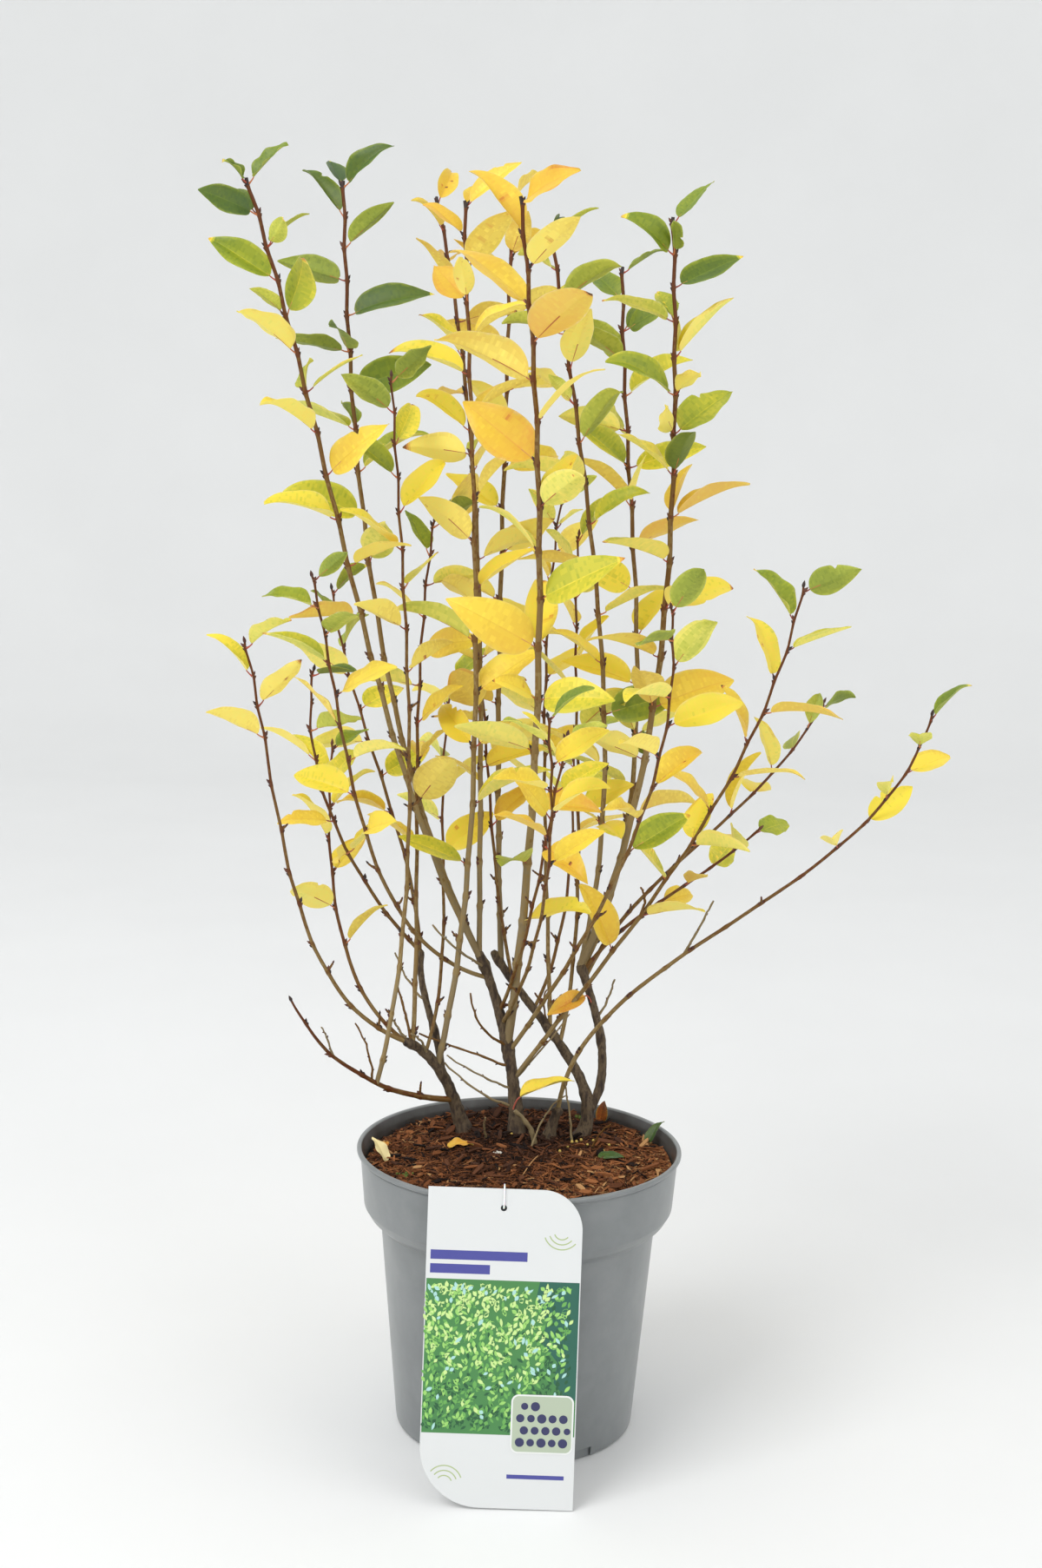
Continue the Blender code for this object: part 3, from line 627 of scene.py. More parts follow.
def blade_grid():
    """Shares along and across a blade, and the faces of its closed thin body."""
    half = np.linspace(0, 1, HALF_STRIPS)[1:]
    u = np.concatenate((-half[::-1], (-RIB, RIB), half))
    t = np.linspace(0.004, 0.988, ROWS + 1)
    upper = np.arange((ROWS + 1) * len(u)).reshape(ROWS + 1, len(u))
    lower = upper.copy()
    lower[1:-1, 1:-1] = upper.size + np.arange((ROWS - 1) * (len(u) - 2)).reshape(ROWS - 1, len(u) - 2)
    return u, t, np.vstack((quads(upper)[:, [0, 3, 2, 1]], quads(lower)[:, [1, 2, 3, 0]]))


BLADE_U, BLADE_T, BLADE_FACES = blade_grid()


def smooth_step(low, high, x):
    s = np.clip((x - low) / (high - low), 0, 1)
    return s * s * (3 - 2 * s)


def grow_blade(pile, base, out, up, length, arch, age, rng, flat=0.0):
    """One folded, recurved blade with its veins, in tints that follow its age."""
    out, up = np.array(out), np.array(up)
    across = np.cross(up, out)
    t, u = BLADE_T[:, None], BLADE_U[None, :]
    half = LEAF_WIDTH * length / 2 * rng.uniform(*WIDTHS)
    outline = t**ROUNDNESS * (1 - t) ** rng.uniform(*POINTEDNESS)
    outline = outline / outline.max() * half
    for _ in range(rng.randint(1, 2) if rng.random() < BITTEN else 0):
        bite, side = rng.uniform(0.3, 0.85), rng.choice((-1, 1))
        outline = outline * (1 - rng.uniform(0.15, 0.4) * hill(t - bite, 0.03) * (u * side > 0))

    bend, hook = math.radians(rng.uniform(*BENDS)) * (1 - 0.6 * flat), math.radians(rng.uniform(*HOOKS))
    lean = bend * BLADE_T**1.2 + hook * smooth_step(0.62, 1.0, BLADE_T)
    steps = np.diff(BLADE_T, prepend=0) * length * 1.03
    forward, rise = np.cumsum(np.cos(lean) * steps), np.cumsum(-np.sin(lean) * steps)
    chord = math.atan2(-arch, 1) - math.atan2(rise[-1], forward[-1])
    run = forward * math.cos(chord) - rise * math.sin(chord)
    height = forward * math.sin(chord) + rise * math.cos(chord)
    slope = (chord - lean)[:, None]
    spine = base + out * run[:, None] + up * height[:, None]
    normal = up * np.cos(slope) - out * np.sin(slope)
    twist = math.radians(rng.uniform(-TWIST, TWIST)) * t
    wide = across * np.cos(twist) + normal * np.sin(twist)
    normal = normal * np.cos(twist) - across * np.sin(twist)

    fold = math.radians(rng.uniform(*FOLDS)) * (1 - 0.75 * flat)
    lean_side = rng.uniform(-0.25, 0.25)
    folds = fold * (1 - 0.25 * t) * (1 + lean_side * np.sign(u))
    reach = np.abs(u) * outline
    x = reach * np.cos(folds) * np.sign(u)
    y = reach * np.sin(folds) * (1 - 0.25 * np.abs(u))
    phases = [rng.uniform(0, 2 * math.pi) for _ in range(4)]
    waves = rng.uniform(*WAVES) * np.sin(2 * math.pi * rng.uniform(1.3, 2.6) * t + phases[0] * np.sign(u))
    quilt = np.cos(2 * math.pi * vein_phase(t, u)) * smooth_step(0.05, 0.3, np.abs(u))
    y = y + waves * u**2 - QUILT * quilt
    y = y + CROSS_WAVE * np.sin(3.1 * t + 2.2 * u + phases[1]) * np.abs(u)
    top = spine[:, None, :] + wide[:, None, :] * x[:, :, None] + normal[:, None, :] * y[:, :, None]
    low = top - normal[:, None, :] * BLADE_THICK
    points = np.vstack((top.reshape(-1, 3), low[1:-1, 1:-1].reshape(-1, 3)))
    over, under = blade_tints(age, phases, rng)
    pile.add(points, BLADE_FACES, np.concatenate((over.reshape(-1), under.reshape(-1))))


def vein_phase(t, u):
    """How far a place on a blade is from one side vein to the next."""
    return (VEINS * (t - VEIN_SLANT * np.abs(u))) % 1


def blade_tints(age, phases, rng):
    """The tint of each face of a blade's upper side and underside."""
    t, u = BLADE_T[:, None], BLADE_U[None, :]
    tc, uc = (t[1:] + t[:-1]) / 2, (u[:, 1:] + u[:, :-1]) / 2
    clouds = np.sin(5 * tc + 3 * uc + phases[2]) * np.sin(4 * uc - 3 * tc + phases[3])
    ages = age + rng.uniform(0.1, 0.5) * clouds
    ages = ages + rng.uniform(-0.5, 0.5) * uc + rng.uniform(-1.1, 1.1) * (tc - 0.5)
    ages = ages + rng.uniform(-0.2, 0.9) * np.abs(uc) ** 3
    ages = ages - 0.3 * (np.abs(vein_phase(tc, uc) - 0.5) < 0.10)
    burnt = rng.random()
    if burnt < 0.16:
        ages = ages + 6 * smooth_step(rng.uniform(0.84, 0.93), 0.97, tc)
    if burnt > 0.94:
        ages = ages + 4 * smooth_step(0.78, 1.0, np.abs(uc)) * smooth_step(0.4, 0.6, tc)
    if age > 4 and rng.random() < 0.22:
        for _ in range(rng.randint(1, 3)):
            spot_t, spot_u = rng.uniform(0.2, 0.9), rng.uniform(-0.9, 0.9)
            near = ((tc - spot_t) / 0.028) ** 2 + ((uc - spot_u) / 0.12) ** 2
            ages = ages + rng.uniform(1.5, 6) * np.exp(-near)
    grain = np.array([rng.uniform(-0.17, 0.17) for _ in range(tc.size * uc.size)]).reshape(tc.size, uc.size)
    tints = np.clip(np.round((ages + grain) * STEPS_BETWEEN), 0, BURNT).astype(int)
    over, under = TOP + tints, UNDER + tints
    rib = len(BLADE_U) // 2 - 1
    over[:, rib] = TOP + np.clip(tints[:, rib] + 2, 0, BURNT)
    over[:int(ROWS * rng.uniform(0, 0.2)), rib] = RIBS + 1
    under[:int(ROWS * rng.uniform(0.12, 0.42)), rib] = RIBS
    return over, under


def quadratic(a, b, c, count):
    """Points along a curve from a to c, drawn towards b."""
    s = np.linspace(0, 1, count)[:, None]
    return np.array(a) * (1 - s) ** 2 + 2 * np.array(b) * s * (1 - s) + np.array(c) * s**2


def grow_petiole(twigs, foot, along, out, radius, rng):
    """The reddish stalk that bends from the stem to the blade, swollen where it joins."""
    start, bend = foot + out * (radius * 0.4), foot + (along * -0.25 + out) * (PETIOLE * 0.6)
    points = quadratic(start, bend, foot + out * (PETIOLE + 0.4), len(PETIOLE_RADII))
    add_tube(twigs, points, PETIOLE_RADII, 6, PETIOLES + rng.randrange(len(PETIOLE_COLOURS)))


# Stems

BARKS, BUDS = 0, len(YOUNG_BARK)
PETIOLES = BUDS + len(BUD_COLOURS)
PETIOLE_RADII = (0.9, 0.6, 0.48, 0.44, 0.43, 0.38)
BUD_SHAPE = ((0.0, 0.55), (0.16, 0.9), (0.36, 1.0), (0.6, 0.78), (0.82, 0.42), (1.0, 0.06))
SHOOT_STEP = 2.2
SHOOT_RELIEF = 0.07
# The nodes of a shoot, in millimetres: the lowest one and the gaps where the leaves have gone, how
# much a node swells, the pinch past it, the red round it, and the shoot's length for one bark tint.
LOWEST_NODE = 34
BARE_GAP = 26
BARE_GAP_SWAY = 5
NODE_SWELL = 0.3
NODE_LENGTH = 1.9
PINCH = 0.05
PINCH_LENGTH = 1.6
PINCH_PLACE = 3.4
NODE_RED = 0.9
RED_LENGTH = 2.4
BARK_STEP = 115
SHOOT_SIDES = 10
SPUR_RINGS = 9


def add_bud(twigs, base, way, length, width, rng):
    """A small pointed bud in its scales."""
    shares, radii = np.array(BUD_SHAPE).T
    spots = np.array(base) + np.outer(shares * length, way)
    add_tube(twigs, spots, radii * width / 2, 7, BUDS + rng.randrange(len(BUD_COLOURS)))


def stem_radius(row, limb, length):
    """A shoot's radius at a length from its foot."""
    tip = CUT_RADIUS if row[0] in CUT_SHOOTS else FREE_RADIUS
    foot = limb.radii[0] * STOUTNESS.get(row[0], USUAL_STOUTNESS)
    return foot + (tip - foot) * length / limb.length


def nodes_of(limb, leafy):
    """Lengths of all the places where a leaf stands or stood, from the tip down to the foot."""
    places = leaf_places(limb, leafy)
    place = places[-1] if places else limb.length
    while place > LOWEST_NODE:
        place -= BARE_GAP + BARE_GAP_SWAY * math.sin(place)
        places.append(place)
    return places


def grow_shoot(twigs, row, number, limb):
    """A shoot from its foot to its tip: zigzag from node to node, swollen at each, with buds and spurs."""
    rng = random.Random(SEED * 7 + number)
    leafy, plane = row[7], row[9]
    nodes = sorted(nodes_of(limb, leafy))
    lengths = np.linspace(0, limb.length, max(8, round(limb.length / SHOOT_STEP)))
    zigzag = [0] + [(-1) ** k for k in range(len(nodes))] + [0]
    sway = np.interp(lengths, [0] + nodes + [limb.length], zigzag)
    sway *= np.interp(lengths, (0, 40, limb.length), (0, 0.35, 0.75))
    side = direction(90, plane)
    centres = []
    for length, shift in zip(lengths, sway):
        t = limb.share(length)
        centres.append(limb.at(t) + square_to(side, limb.along(t)) * shift)
    past = lengths[:, None] - np.array(nodes)
    swell = NODE_SWELL * hill(past, NODE_LENGTH).sum(axis=1)
    pinch = PINCH * hill(past - PINCH_PLACE, PINCH_LENGTH).sum(axis=1)
    radii = stem_radius(row, limb, lengths) * (1 + swell - pinch)
    grain = np.array([[noise_at(length * 0.6, j * 1.7, number * 5.3) for j in range(SHOOT_SIDES)]
                      for length in lengths])
    cloud = np.array([noise_at(length * 0.03, number * 3.7, 0) for length in lengths])
    red = NODE_RED * hill(past, RED_LENGTH).sum(axis=1)
    tints = (limb.length - lengths) / BARK_STEP + 0.8 * cloud - red
    dither = np.array([[rng.uniform(-0.5, 0.5) for _ in range(SHOOT_SIDES)] for _ in lengths])
    shade = np.clip(np.round(tints[:, None] - 0.3 + dither), 0, len(YOUNG_BARK) - 1).astype(int)
    if row[0] in CUT_SHOOTS:
        shade[-3:] = BUDS + 2
    add_tube(twigs, centres, radii, SHOOT_SIDES, BARKS + shade, grain * SHOOT_RELIEF)
    add_buds(twigs, row, limb, nodes, side, rng)


def add_buds(twigs, row, limb, nodes, side, rng):
    """A bud in each axil, spurs lower down, and the tip's own bud."""
    for k, place in enumerate(nodes):
        t = limb.share(place)
        spot, along = limb.at(t), limb.along(t)
        across = square_to(side, along) * (-1) ** k
        radius = stem_radius(row, limb, place)
        cushion, way = spot + across * radius * 0.5 - along * 1.2, (along * 0.6 + across * 0.8).normalized()
        add_bud(twigs, cushion, way, 2.1 + radius * 0.4, 1.1 + radius, rng)
        base, way = spot + across * radius * 0.75 + along * 0.6, (along * 0.84 + across * 0.54).normalized()
        size = rng.uniform(3.0, 4.8)
        add_bud(twigs, base, way, size, size * 0.5, rng)
        leafless = limb.length - place > row[7]
        if leafless and rng.random() < 0.4:
            grow_spur(twigs, base, (along * 0.5 + across * 0.87).normalized(), rng)
    if row[0] not in CUT_SHOOTS:
        add_bud(twigs, limb.at(1) - limb.along(1) * 0.6, limb.along(1), 4.6, 2.2, rng)


def grow_spur(twigs, base, way, rng):
    """A short ringed spur with a bud or two at its end."""
    length = rng.uniform(3, 9)
    bent = (way + Vector((rng.uniform(-0.3, 0.3), rng.uniform(-0.3, 0.3), 0.5))).normalized()
    middle, tip = base + way * length * 0.5, base + way * length * 0.6 + bent * length * 0.4
    radii = [0.85 - 0.03 * k + 0.13 * (k % 2) for k in range(SPUR_RINGS)]
    add_tube(twigs, quadratic(base - way, middle, tip, SPUR_RINGS), radii, 7, BARKS + 1)
    add_bud(twigs, tip, bent, rng.uniform(2, 3.2), 1.4, rng)
    if rng.random() < 0.5:
        add_bud(twigs, middle, (bent + way.orthogonal() * 0.6).normalized(), 2.0, 1.1, rng)


# Lumps on the old wood: limb, length along it as a share, height, and half length.
LUMPS = [
    ("trunk_left", 0.93, 0.9, 5), ("trunk_left", 0.72, 0.9, 5), ("trunk_left", 0.55, 1.4, 5),
    ("trunk_middle", 0.16, 1.2, 7), ("trunk_middle", 0.44, 1.4, 5), ("trunk_middle", 0.52, 1.6, 5),
    ("trunk_middle", 0.93, 1.8, 6), ("trunk_cross", 0.17, 1.6, 7), ("trunk_cross", 0.55, 1.2, 5),
    ("trunk_cross", 0.95, 1.6, 6), ("trunk_right", 0.5, 1.0, 5), ("trunk_right", 0.95, 1.8, 6),
    ("trunk_short", 0.9, 1.4, 4), ("left_post", 0.35, 0.9, 4), ("left_post", 0.95, 1.4, 5),
]
OLD_SIDES = 22
OLD_STEP = 1.2
FLARE = 0.42
FLARE_LENGTH = 9
SUNK = 9


def grow_trunk(wood, row, number, limb):
    """An old stem with long cracks, peeling ridges and lumps, sunk in the compost or its parent."""
    name, parent = row[:2]
    lengths = np.arange(0 if parent else -SUNK, limb.length + OLD_STEP, OLD_STEP)
    radii, relief = [], []
    for length in lengths:
        share = min(1, max(0, length / limb.length))
        flare = 0 if parent else FLARE * math.exp(-max(0, length) / FLARE_LENGTH)
        lump = sum(h * hill(length - s * limb.length, w) for n, s, h, w in LUMPS if n == name)
        end = math.sqrt(max(0.05, min(1, (limb.length + OLD_STEP - length) / 2.5)))
        size = limb.radii[0] + (limb.radii[1] - limb.radii[0]) * share**0.7
        radii.append((size * (1 + flare) + lump * 0.55) * end)
        around = []
        for angle in np.linspace(0, 2 * math.pi, OLD_SIDES, endpoint=False):
            x, y = math.cos(angle), math.sin(angle)
            crack = noise_at(x * 2.6, y * 2.6, length * 0.07 + number * 9)
            fine = noise_at(x * 6, y * 6, length * 0.4 + number * 5)
            knob = noise_at(x * 1.3, y * 1.3, length * 0.16 + number * 3)
            ridge = -0.16 * max(0, 0.25 - abs(crack)) * 4 + 0.10 * fine + 0.14 * knob
            flutes = flare * 0.5 * math.cos(5 * angle + number)
            around.append(ridge * size + flutes * size * 0.5 + lump * 0.5 * knob)
        relief.append(around)
    centres = [limb.at_length(length) for length in lengths]
    add_tube(wood, centres, radii, OLD_SIDES, 0, np.array(relief))


# Thin dead twigs: the limb they grow from and the height of their foot (or the foot's x, y
# on the compost), the bend, the tip, and the radius.
DEAD_TWIGS = [
    ("trunk_middle", 220, (-24, 35, 229), (-66, 30, 245), 0.8),
    ("trunk_middle", 206, (-26, 35, 214), (-48, 30, 231), 0.7),
    ("trunk_middle", 194, (-26, 27, 203), (-50, 35, 225), 0.8),
    ("trunk_middle", 234, (-31, 20, 250), (-33, 10, 278), 0.8),
    ("trunk_middle", 286, (-42, 15, 302), (-58, 10, 322), 0.8),
    ("trunk_middle", 211, (20, 40, 240), (31, 50, 255), 0.6),
    ("trunk_left", 240, (-75, 24, 262), (-80, 18, 281), 0.9),
    ("trunk_left", 241, (-80, 22, 250), (-84, 14, 263), 0.8),
    ("trunk_left", 232, (-61, 16, 244), (-70, 8, 252), 0.8),
    ("low_branch", 222, (-92, -8, 240), (-104, -14, 264), 0.7),
    ("low_branch", 244, (-120, -36, 262), (-122, -52, 272), 0.6),
    ("far_right", 304, (110, 12.5, 322), (119, 9, 341), 0.8),
    ("outer_right", 330, (78, 10, 345), (72, -4, 352), 0.8),
    ("left_post", 262, (-80, 60, 276), (-84, 66, 290), 0.7),
    ("trunk_right", 250, (58, 66, 262), (60, 60, 276), 0.8),
    ("trunk_cross", 232, (10, 70, 250), (16, 84, 262), 0.7),
    (None, (34, 22), (33, 20, 196), (28, 20, 219), 0.7),
    (None, (7, 12), (14, 22, 200), (29, 32, 205), 0.6),
    (None, (46, 16), (50, 12, 188), (58, 4, 196), 0.6),
    (None, (-20, 26), (-24, 18, 186), (-22, 8, 197), 0.7),
]
STUB = (None, (10, 22), (9, 18, 189), (-3, 15, 200), 1.7)
TWIG_RINGS = 16
LIMB_STEPS = 400


def foot_of(limbs, carrier, place):
    """Where a dead twig starts: on its limb at a height, or on the compost."""
    if carrier is None:
        return Vector((*place, soil_height(*place) - 3))
    limb = limbs[carrier]
    for i in range(LIMB_STEPS):
        if limb.at(i / LIMB_STEPS).z >= place:
            return limb.at(i / LIMB_STEPS)
    return limb.at(1)


def grow_dead_twigs(twigs, limbs):
    """Thin knotty twigs, each with a few dry buds."""
    rng = random.Random(SEED * 11)
    noise.seed_set(SEED)
    taper = np.linspace(1.15, 0.72, TWIG_RINGS)
    taper[2::4] += 0.16
    for number, (carrier, place, bend, tip, radius) in enumerate(DEAD_TWIGS + [STUB]):
        points = quadratic(foot_of(limbs, carrier, place), bend, tip, TWIG_RINGS)
        for i in range(1, TWIG_RINGS):
            points[i] += np.array(noise.noise_vector(Vector((i * 0.5, number * 2.1, 3))) * 0.9)
        add_tube(twigs, points, radius * taper, 7, BARKS + (4 if number % 3 else 1))
        for i in range(3, TWIG_RINGS - 1, 4):
            way = Vector(points[i] - points[i - 1]).normalized()
            aside = (way + way.orthogonal() * (0.8 if i % 8 == 3 else -0.8)).normalized()
            add_bud(twigs, points[i], aside, rng.uniform(1.6, 2.6), 1.1, rng)


# Pot

POT_SIDES = 168


def arc_points(centre, radius, start, sweep, steps):
    angles = [math.radians(start + sweep * i / steps) for i in range(steps + 1)]
    return [(centre[0] + radius * math.cos(a), centre[1] + radius * math.sin(a)) for a in angles]


def rounded(points, radius, steps=4):
    """A line of corners in the plane with each inner corner rounded."""
    made = [points[0]]
    for before, corner, after in zip(points, points[1:], points[2:]):
        b, c, a = Vector(before), Vector(corner), Vector(after)
        cut = min(radius, (b - c).length * 0.45, (a - c).length * 0.45)
        first, last = c + (b - c).normalized() * cut, c + (a - c).normalized() * cut
        made += [tuple(p) for p in quadratic(first, c, last, steps + 1)]
    return made + [points[-1]]


def pot_profile():
    """The wall's section: up the inside, over the rolled lip, and down the outside."""
    inner = [(0, FLOOR), (BASE_RADIUS - WALL, FLOOR), (STEP_RADIUS - WALL, STEP_HEIGHT)]
    inner += [(COLLAR_FOOT_RADIUS - WALL, COLLAR_FOOT), (COLLAR_RADIUS - WALL, POT_HEIGHT - 6)]
    lip = [(COLLAR_RADIUS - 0.4, POT_HEIGHT - 0.6), (COLLAR_RADIUS + 0.2, POT_HEIGHT)]
    lip += [(RIM_RADIUS - 0.6, POT_HEIGHT), (RIM_RADIUS, POT_HEIGHT - 0.8)]
    lip += [(RIM_RADIUS, POT_HEIGHT - 2.4), (RIM_RADIUS - 0.7, POT_HEIGHT - 3.2)]
    groove = [(COLLAR_RADIUS + 0.2, POT_HEIGHT - 3.4), (COLLAR_RADIUS - 0.3, POT_HEIGHT - 4.2)]
    collar = [(COLLAR_RADIUS + 0.15, POT_HEIGHT - 5.0), (COLLAR_FOOT_RADIUS + 0.1, COLLAR_FOOT - 0.5)]
    collar += [(COLLAR_FOOT_RADIUS - 3.4, COLLAR_FOOT - 6.4), (STEP_RADIUS + 1.3, STEP_HEIGHT + 0.4)]
    ridge = [(STEP_RADIUS + 1.1, STEP_HEIGHT - 0.5), (STEP_RADIUS - 0.2, STEP_HEIGHT - 0.6)]
    body = [(STEP_RADIUS - 0.3, STEP_HEIGHT - 1.4), (BASE_RADIUS + 0.4, 6), (BASE_RADIUS - 0.1, 1.6)]
    foot = [(BASE_RADIUS - 2, 0), (BASE_RADIUS - 7, 0), (BASE_RADIUS - 8, 1.0), (0, 1.0)]
    return rounded(inner + lip + groove + collar, 0.9) + ridge + rounded(body + foot, 0.9)


def lathe(profile, sides):
    """A closed turned mesh from a section that starts and ends on the axis."""
    points, rings, faces = [], [], []
    for r, z in profile:
        ring = [(0, 0, z)] if r < 1e-6 else [(x, y, z) for x, y in circle(r, sides)]
        rings.append(range(len(points), len(points) + len(ring)))
        points += ring
    for low, high in zip(rings, rings[1:]):
        for j in range(sides):
            k = (j + 1) % sides
            corners = [low[j % len(low)], low[k % len(low)], high[k % len(high)], high[j % len(high)]]
            faces.append(list(dict.fromkeys(reversed(corners))))
    return points, faces


def notch_angles():
    return [math.radians(FIRST_NOTCH + 360 * i / NOTCHES) for i in range(NOTCHES)]


def cut_notches(mesh):
    """The pot's mesh with the drainage notches cut in the edge of its foot."""
    pot = place_object("uncut_pot", mesh)
    group = bpy.data.collections.new("notches")
    bpy.context.scene.collection.children.link(group)
    for angle in notch_angles():
        bpy.ops.mesh.primitive_cube_add(size=MM)
        cutter = bpy.context.object
        cutter.scale = NOTCH_SIZE
        cutter.rotation_euler.z = angle
        cutter.location = (BASE_RADIUS * MM * math.cos(angle), BASE_RADIUS * MM * math.sin(angle), 0)
        for other in list(cutter.users_collection):
            other.objects.unlink(cutter)
        group.objects.link(cutter)
    cut = pot.modifiers.new("notches", "BOOLEAN")
    cut.operation = "DIFFERENCE"
    cut.operand_type = "COLLECTION"
    cut.collection = group
    bpy.context.view_layer.update()
    made = baked(pot)
    for cutter in list(group.objects):
        bpy.data.objects.remove(cutter)
    bpy.data.collections.remove(group)
    return made


def pot_material(name, shades):
    """Grey satin plastic with a faint grain, soft scuffs and a little dust."""
    made = principled(name, shades[1], 0.4, Specular_IOR_Level=0.62, Coat_Weight=0.4, Coat_Roughness=0.3)
    mottle(made, shades, noise_value(made, 38, 5), 0.3, 0.7)
    vary_roughness(made, noise_value(made, 90, 6, (1, 1, 0.3)), 0.3, 0.46)
    raise_bump(made, noise_value(made, 1400, 2), 0.03)
    raise_bump(made, noise_value(made, 26, 3, (1, 1, 3)), 0.12)
    return made


def build_pot():
    """The turned shell, darker inside with painted shade and soil dirt, and its drainage notches."""
    profile = pot_profile()
    points, faces = lathe(profile, POT_SIDES)
    # The inside faces get the darker shades: painted shade and soil dirt together.
    plastic = [pot_material("pot_outside", POT_OUTSIDE), pot_material("pot_inside", POT_INSIDE)]
    brim = next(i for i, (_, z) in enumerate(profile) if z > POT_HEIGHT - 2)
    inside = [int(k < brim * POT_SIDES) for k in range(len(faces))]
    shell = cut_notches(new_mesh("pot_shell", points, faces, plastic, inside))
    finish_piece("pot_shell", shell, ["pot"], sharp=32)
    build_notch_backs(plastic[0])


def build_notch_backs(plastic):
    """The wall that steps back behind each drainage notch."""
    pile = Pile()
    wide, top = NOTCH_SIZE[1] / 2 + 1, NOTCH_SIZE[2] / 2 + 1.2
    outer, inner = BASE_RADIUS - WALL - 0.1, BASE_RADIUS - WALL - 0.6
    corners = ((inner, -wide), (outer, -wide), (outer, wide), (inner, wide))
    for angle in notch_angles():
        turn = Matrix.Rotation(angle, 3, "Z")
        pile.add_rings([turn @ Vector((r, side, z)) for z in (0.4, top) for r, side in corners], 4, 0)
    pile.build("pot_notch_backs", [plastic], "pot_plastic", ["pot"], sharp=30)


# Compost

def soil_height(x, y):
    """The compost's surface in millimetres, without its fine lumps."""
    far = math.hypot(x - MOUND_CENTRE[0], y - MOUND_CENTRE[1])
    s = min(1, max(0, (far - MOUND_FLAT) / MOUND_SLOPE))
    base = MOUND_TOP + 1 - (MOUND_TOP + 1 - SOIL_EDGE - RAISED) * s * s * (3 - 2 * s)
    return base + 2.2 * noise_at(x * 0.05, y * 0.05, 1) + 1.3 * noise_at(x * 0.16, y * 0.16, 5) - 0.8


SOIL_COLOURS = [
    (38, 25, 20), (54, 34, 25), (72, 45, 31), (96, 59, 38), (124, 76, 45), (150, 96, 58), (182, 138, 92),
    (28, 19, 17), (206, 202, 192), (206, 178, 96), (92, 108, 52),
]
DARKEST, PALE, BEAD, MOSS = 7, 8, 9, 10
RAISED = 5
SOIL_RINGS = 60
SOIL_SIDES = 180
SHREDS = 3600
CHIPS = 150
FIBRES = 5200
CRUMBS = 700

# What lies on the compost: feed beads; tufts of moss and a pale bit, with spread and tint; a straw,
# with its height above the compost.
BEADS = [(26, 4), (34, 19), (37, 22), (40, 24), (48, 26), (43, 36), (54, 10), (51, 5), (31, 12), (44, 18),
         (-5, 33), (58, 20), (20, 38)]
ODD_BITS = [(-70, -36, 2.4, MOSS), (40, 76, 2.6, MOSS), (-13, -4, 1.2, PALE)]
STRAW = [(12, -8, 2.0), (7, -22, 4.0), (2, -38, 1.4)]


def soil_tint(rng, x, y):
    """Brown at the left, painted shade round the stems, and a brighter orange-brown at the front right."""
    bright = 2.8 + 1.6 * smooth_step(-20, 90, x - 0.9 * y) + 0.8 * smooth_step(10, 70, -x)
    # Painted shade: the compost is darkened round the stems, under the crown.
    bright += rng.gauss(0, 1.15) - 1.5 * hill(math.hypot(x - 2, y - 34), 44)
    return int(min(6, max(0, round(bright)))) if rng.random() > 0.14 else DARKEST


def build_soil():
    """The compost's rough surface, and its skirt down to the pot's floor."""
    pile, rng = Pile(), random.Random(SEED * 13)
    points = []
    for i in range(SOIL_RINGS + 1):
        for x, y in circle((COLLAR_RADIUS - WALL - 1.6) * i / SOIL_RINGS, SOIL_SIDES):
            fine = 0.7 * noise_at(x * 0.45, y * 0.45, 2) + 0.4 * noise_at(x, y, 7)
            points.append((x, y, soil_height(x, y) + fine - 0.7))
    faces = ring_faces(SOIL_RINGS + 1, SOIL_SIDES)
    pile.add(points, faces, [soil_tint(rng, *points[face[0]][:2]) for face in faces])
    skirt = points[-SOIL_SIDES:]
    low = FLOOR + 0.3
    for radius, z in ((STEP_RADIUS - WALL - 1, STEP_HEIGHT), (BASE_RADIUS - WALL - 1, low), (0.5, low)):
        skirt += [(x, y, z) for x, y in circle(radius, SOIL_SIDES)]
    pile.add(skirt, ring_faces(4, SOIL_SIDES), 0)
    materials = soil_materials()
    pile.build("compost_bed", materials, "compost", ["soil"])
    scatter_soil(materials)


def soil_materials():
    made = tinted("compost", SOIL_COLOURS, 0.93, Specular_IOR_Level=0.2)
    for material in made:
        raise_bump(material, noise_value(material, 700, 5), 0.35)
    return made


def inside_pot(rng, reach):
    """A random place on the compost."""
    while True:
        x, y = rng.uniform(-reach, reach), rng.uniform(-reach, reach)
        if math.hypot(x, y) < reach:
            return x, y


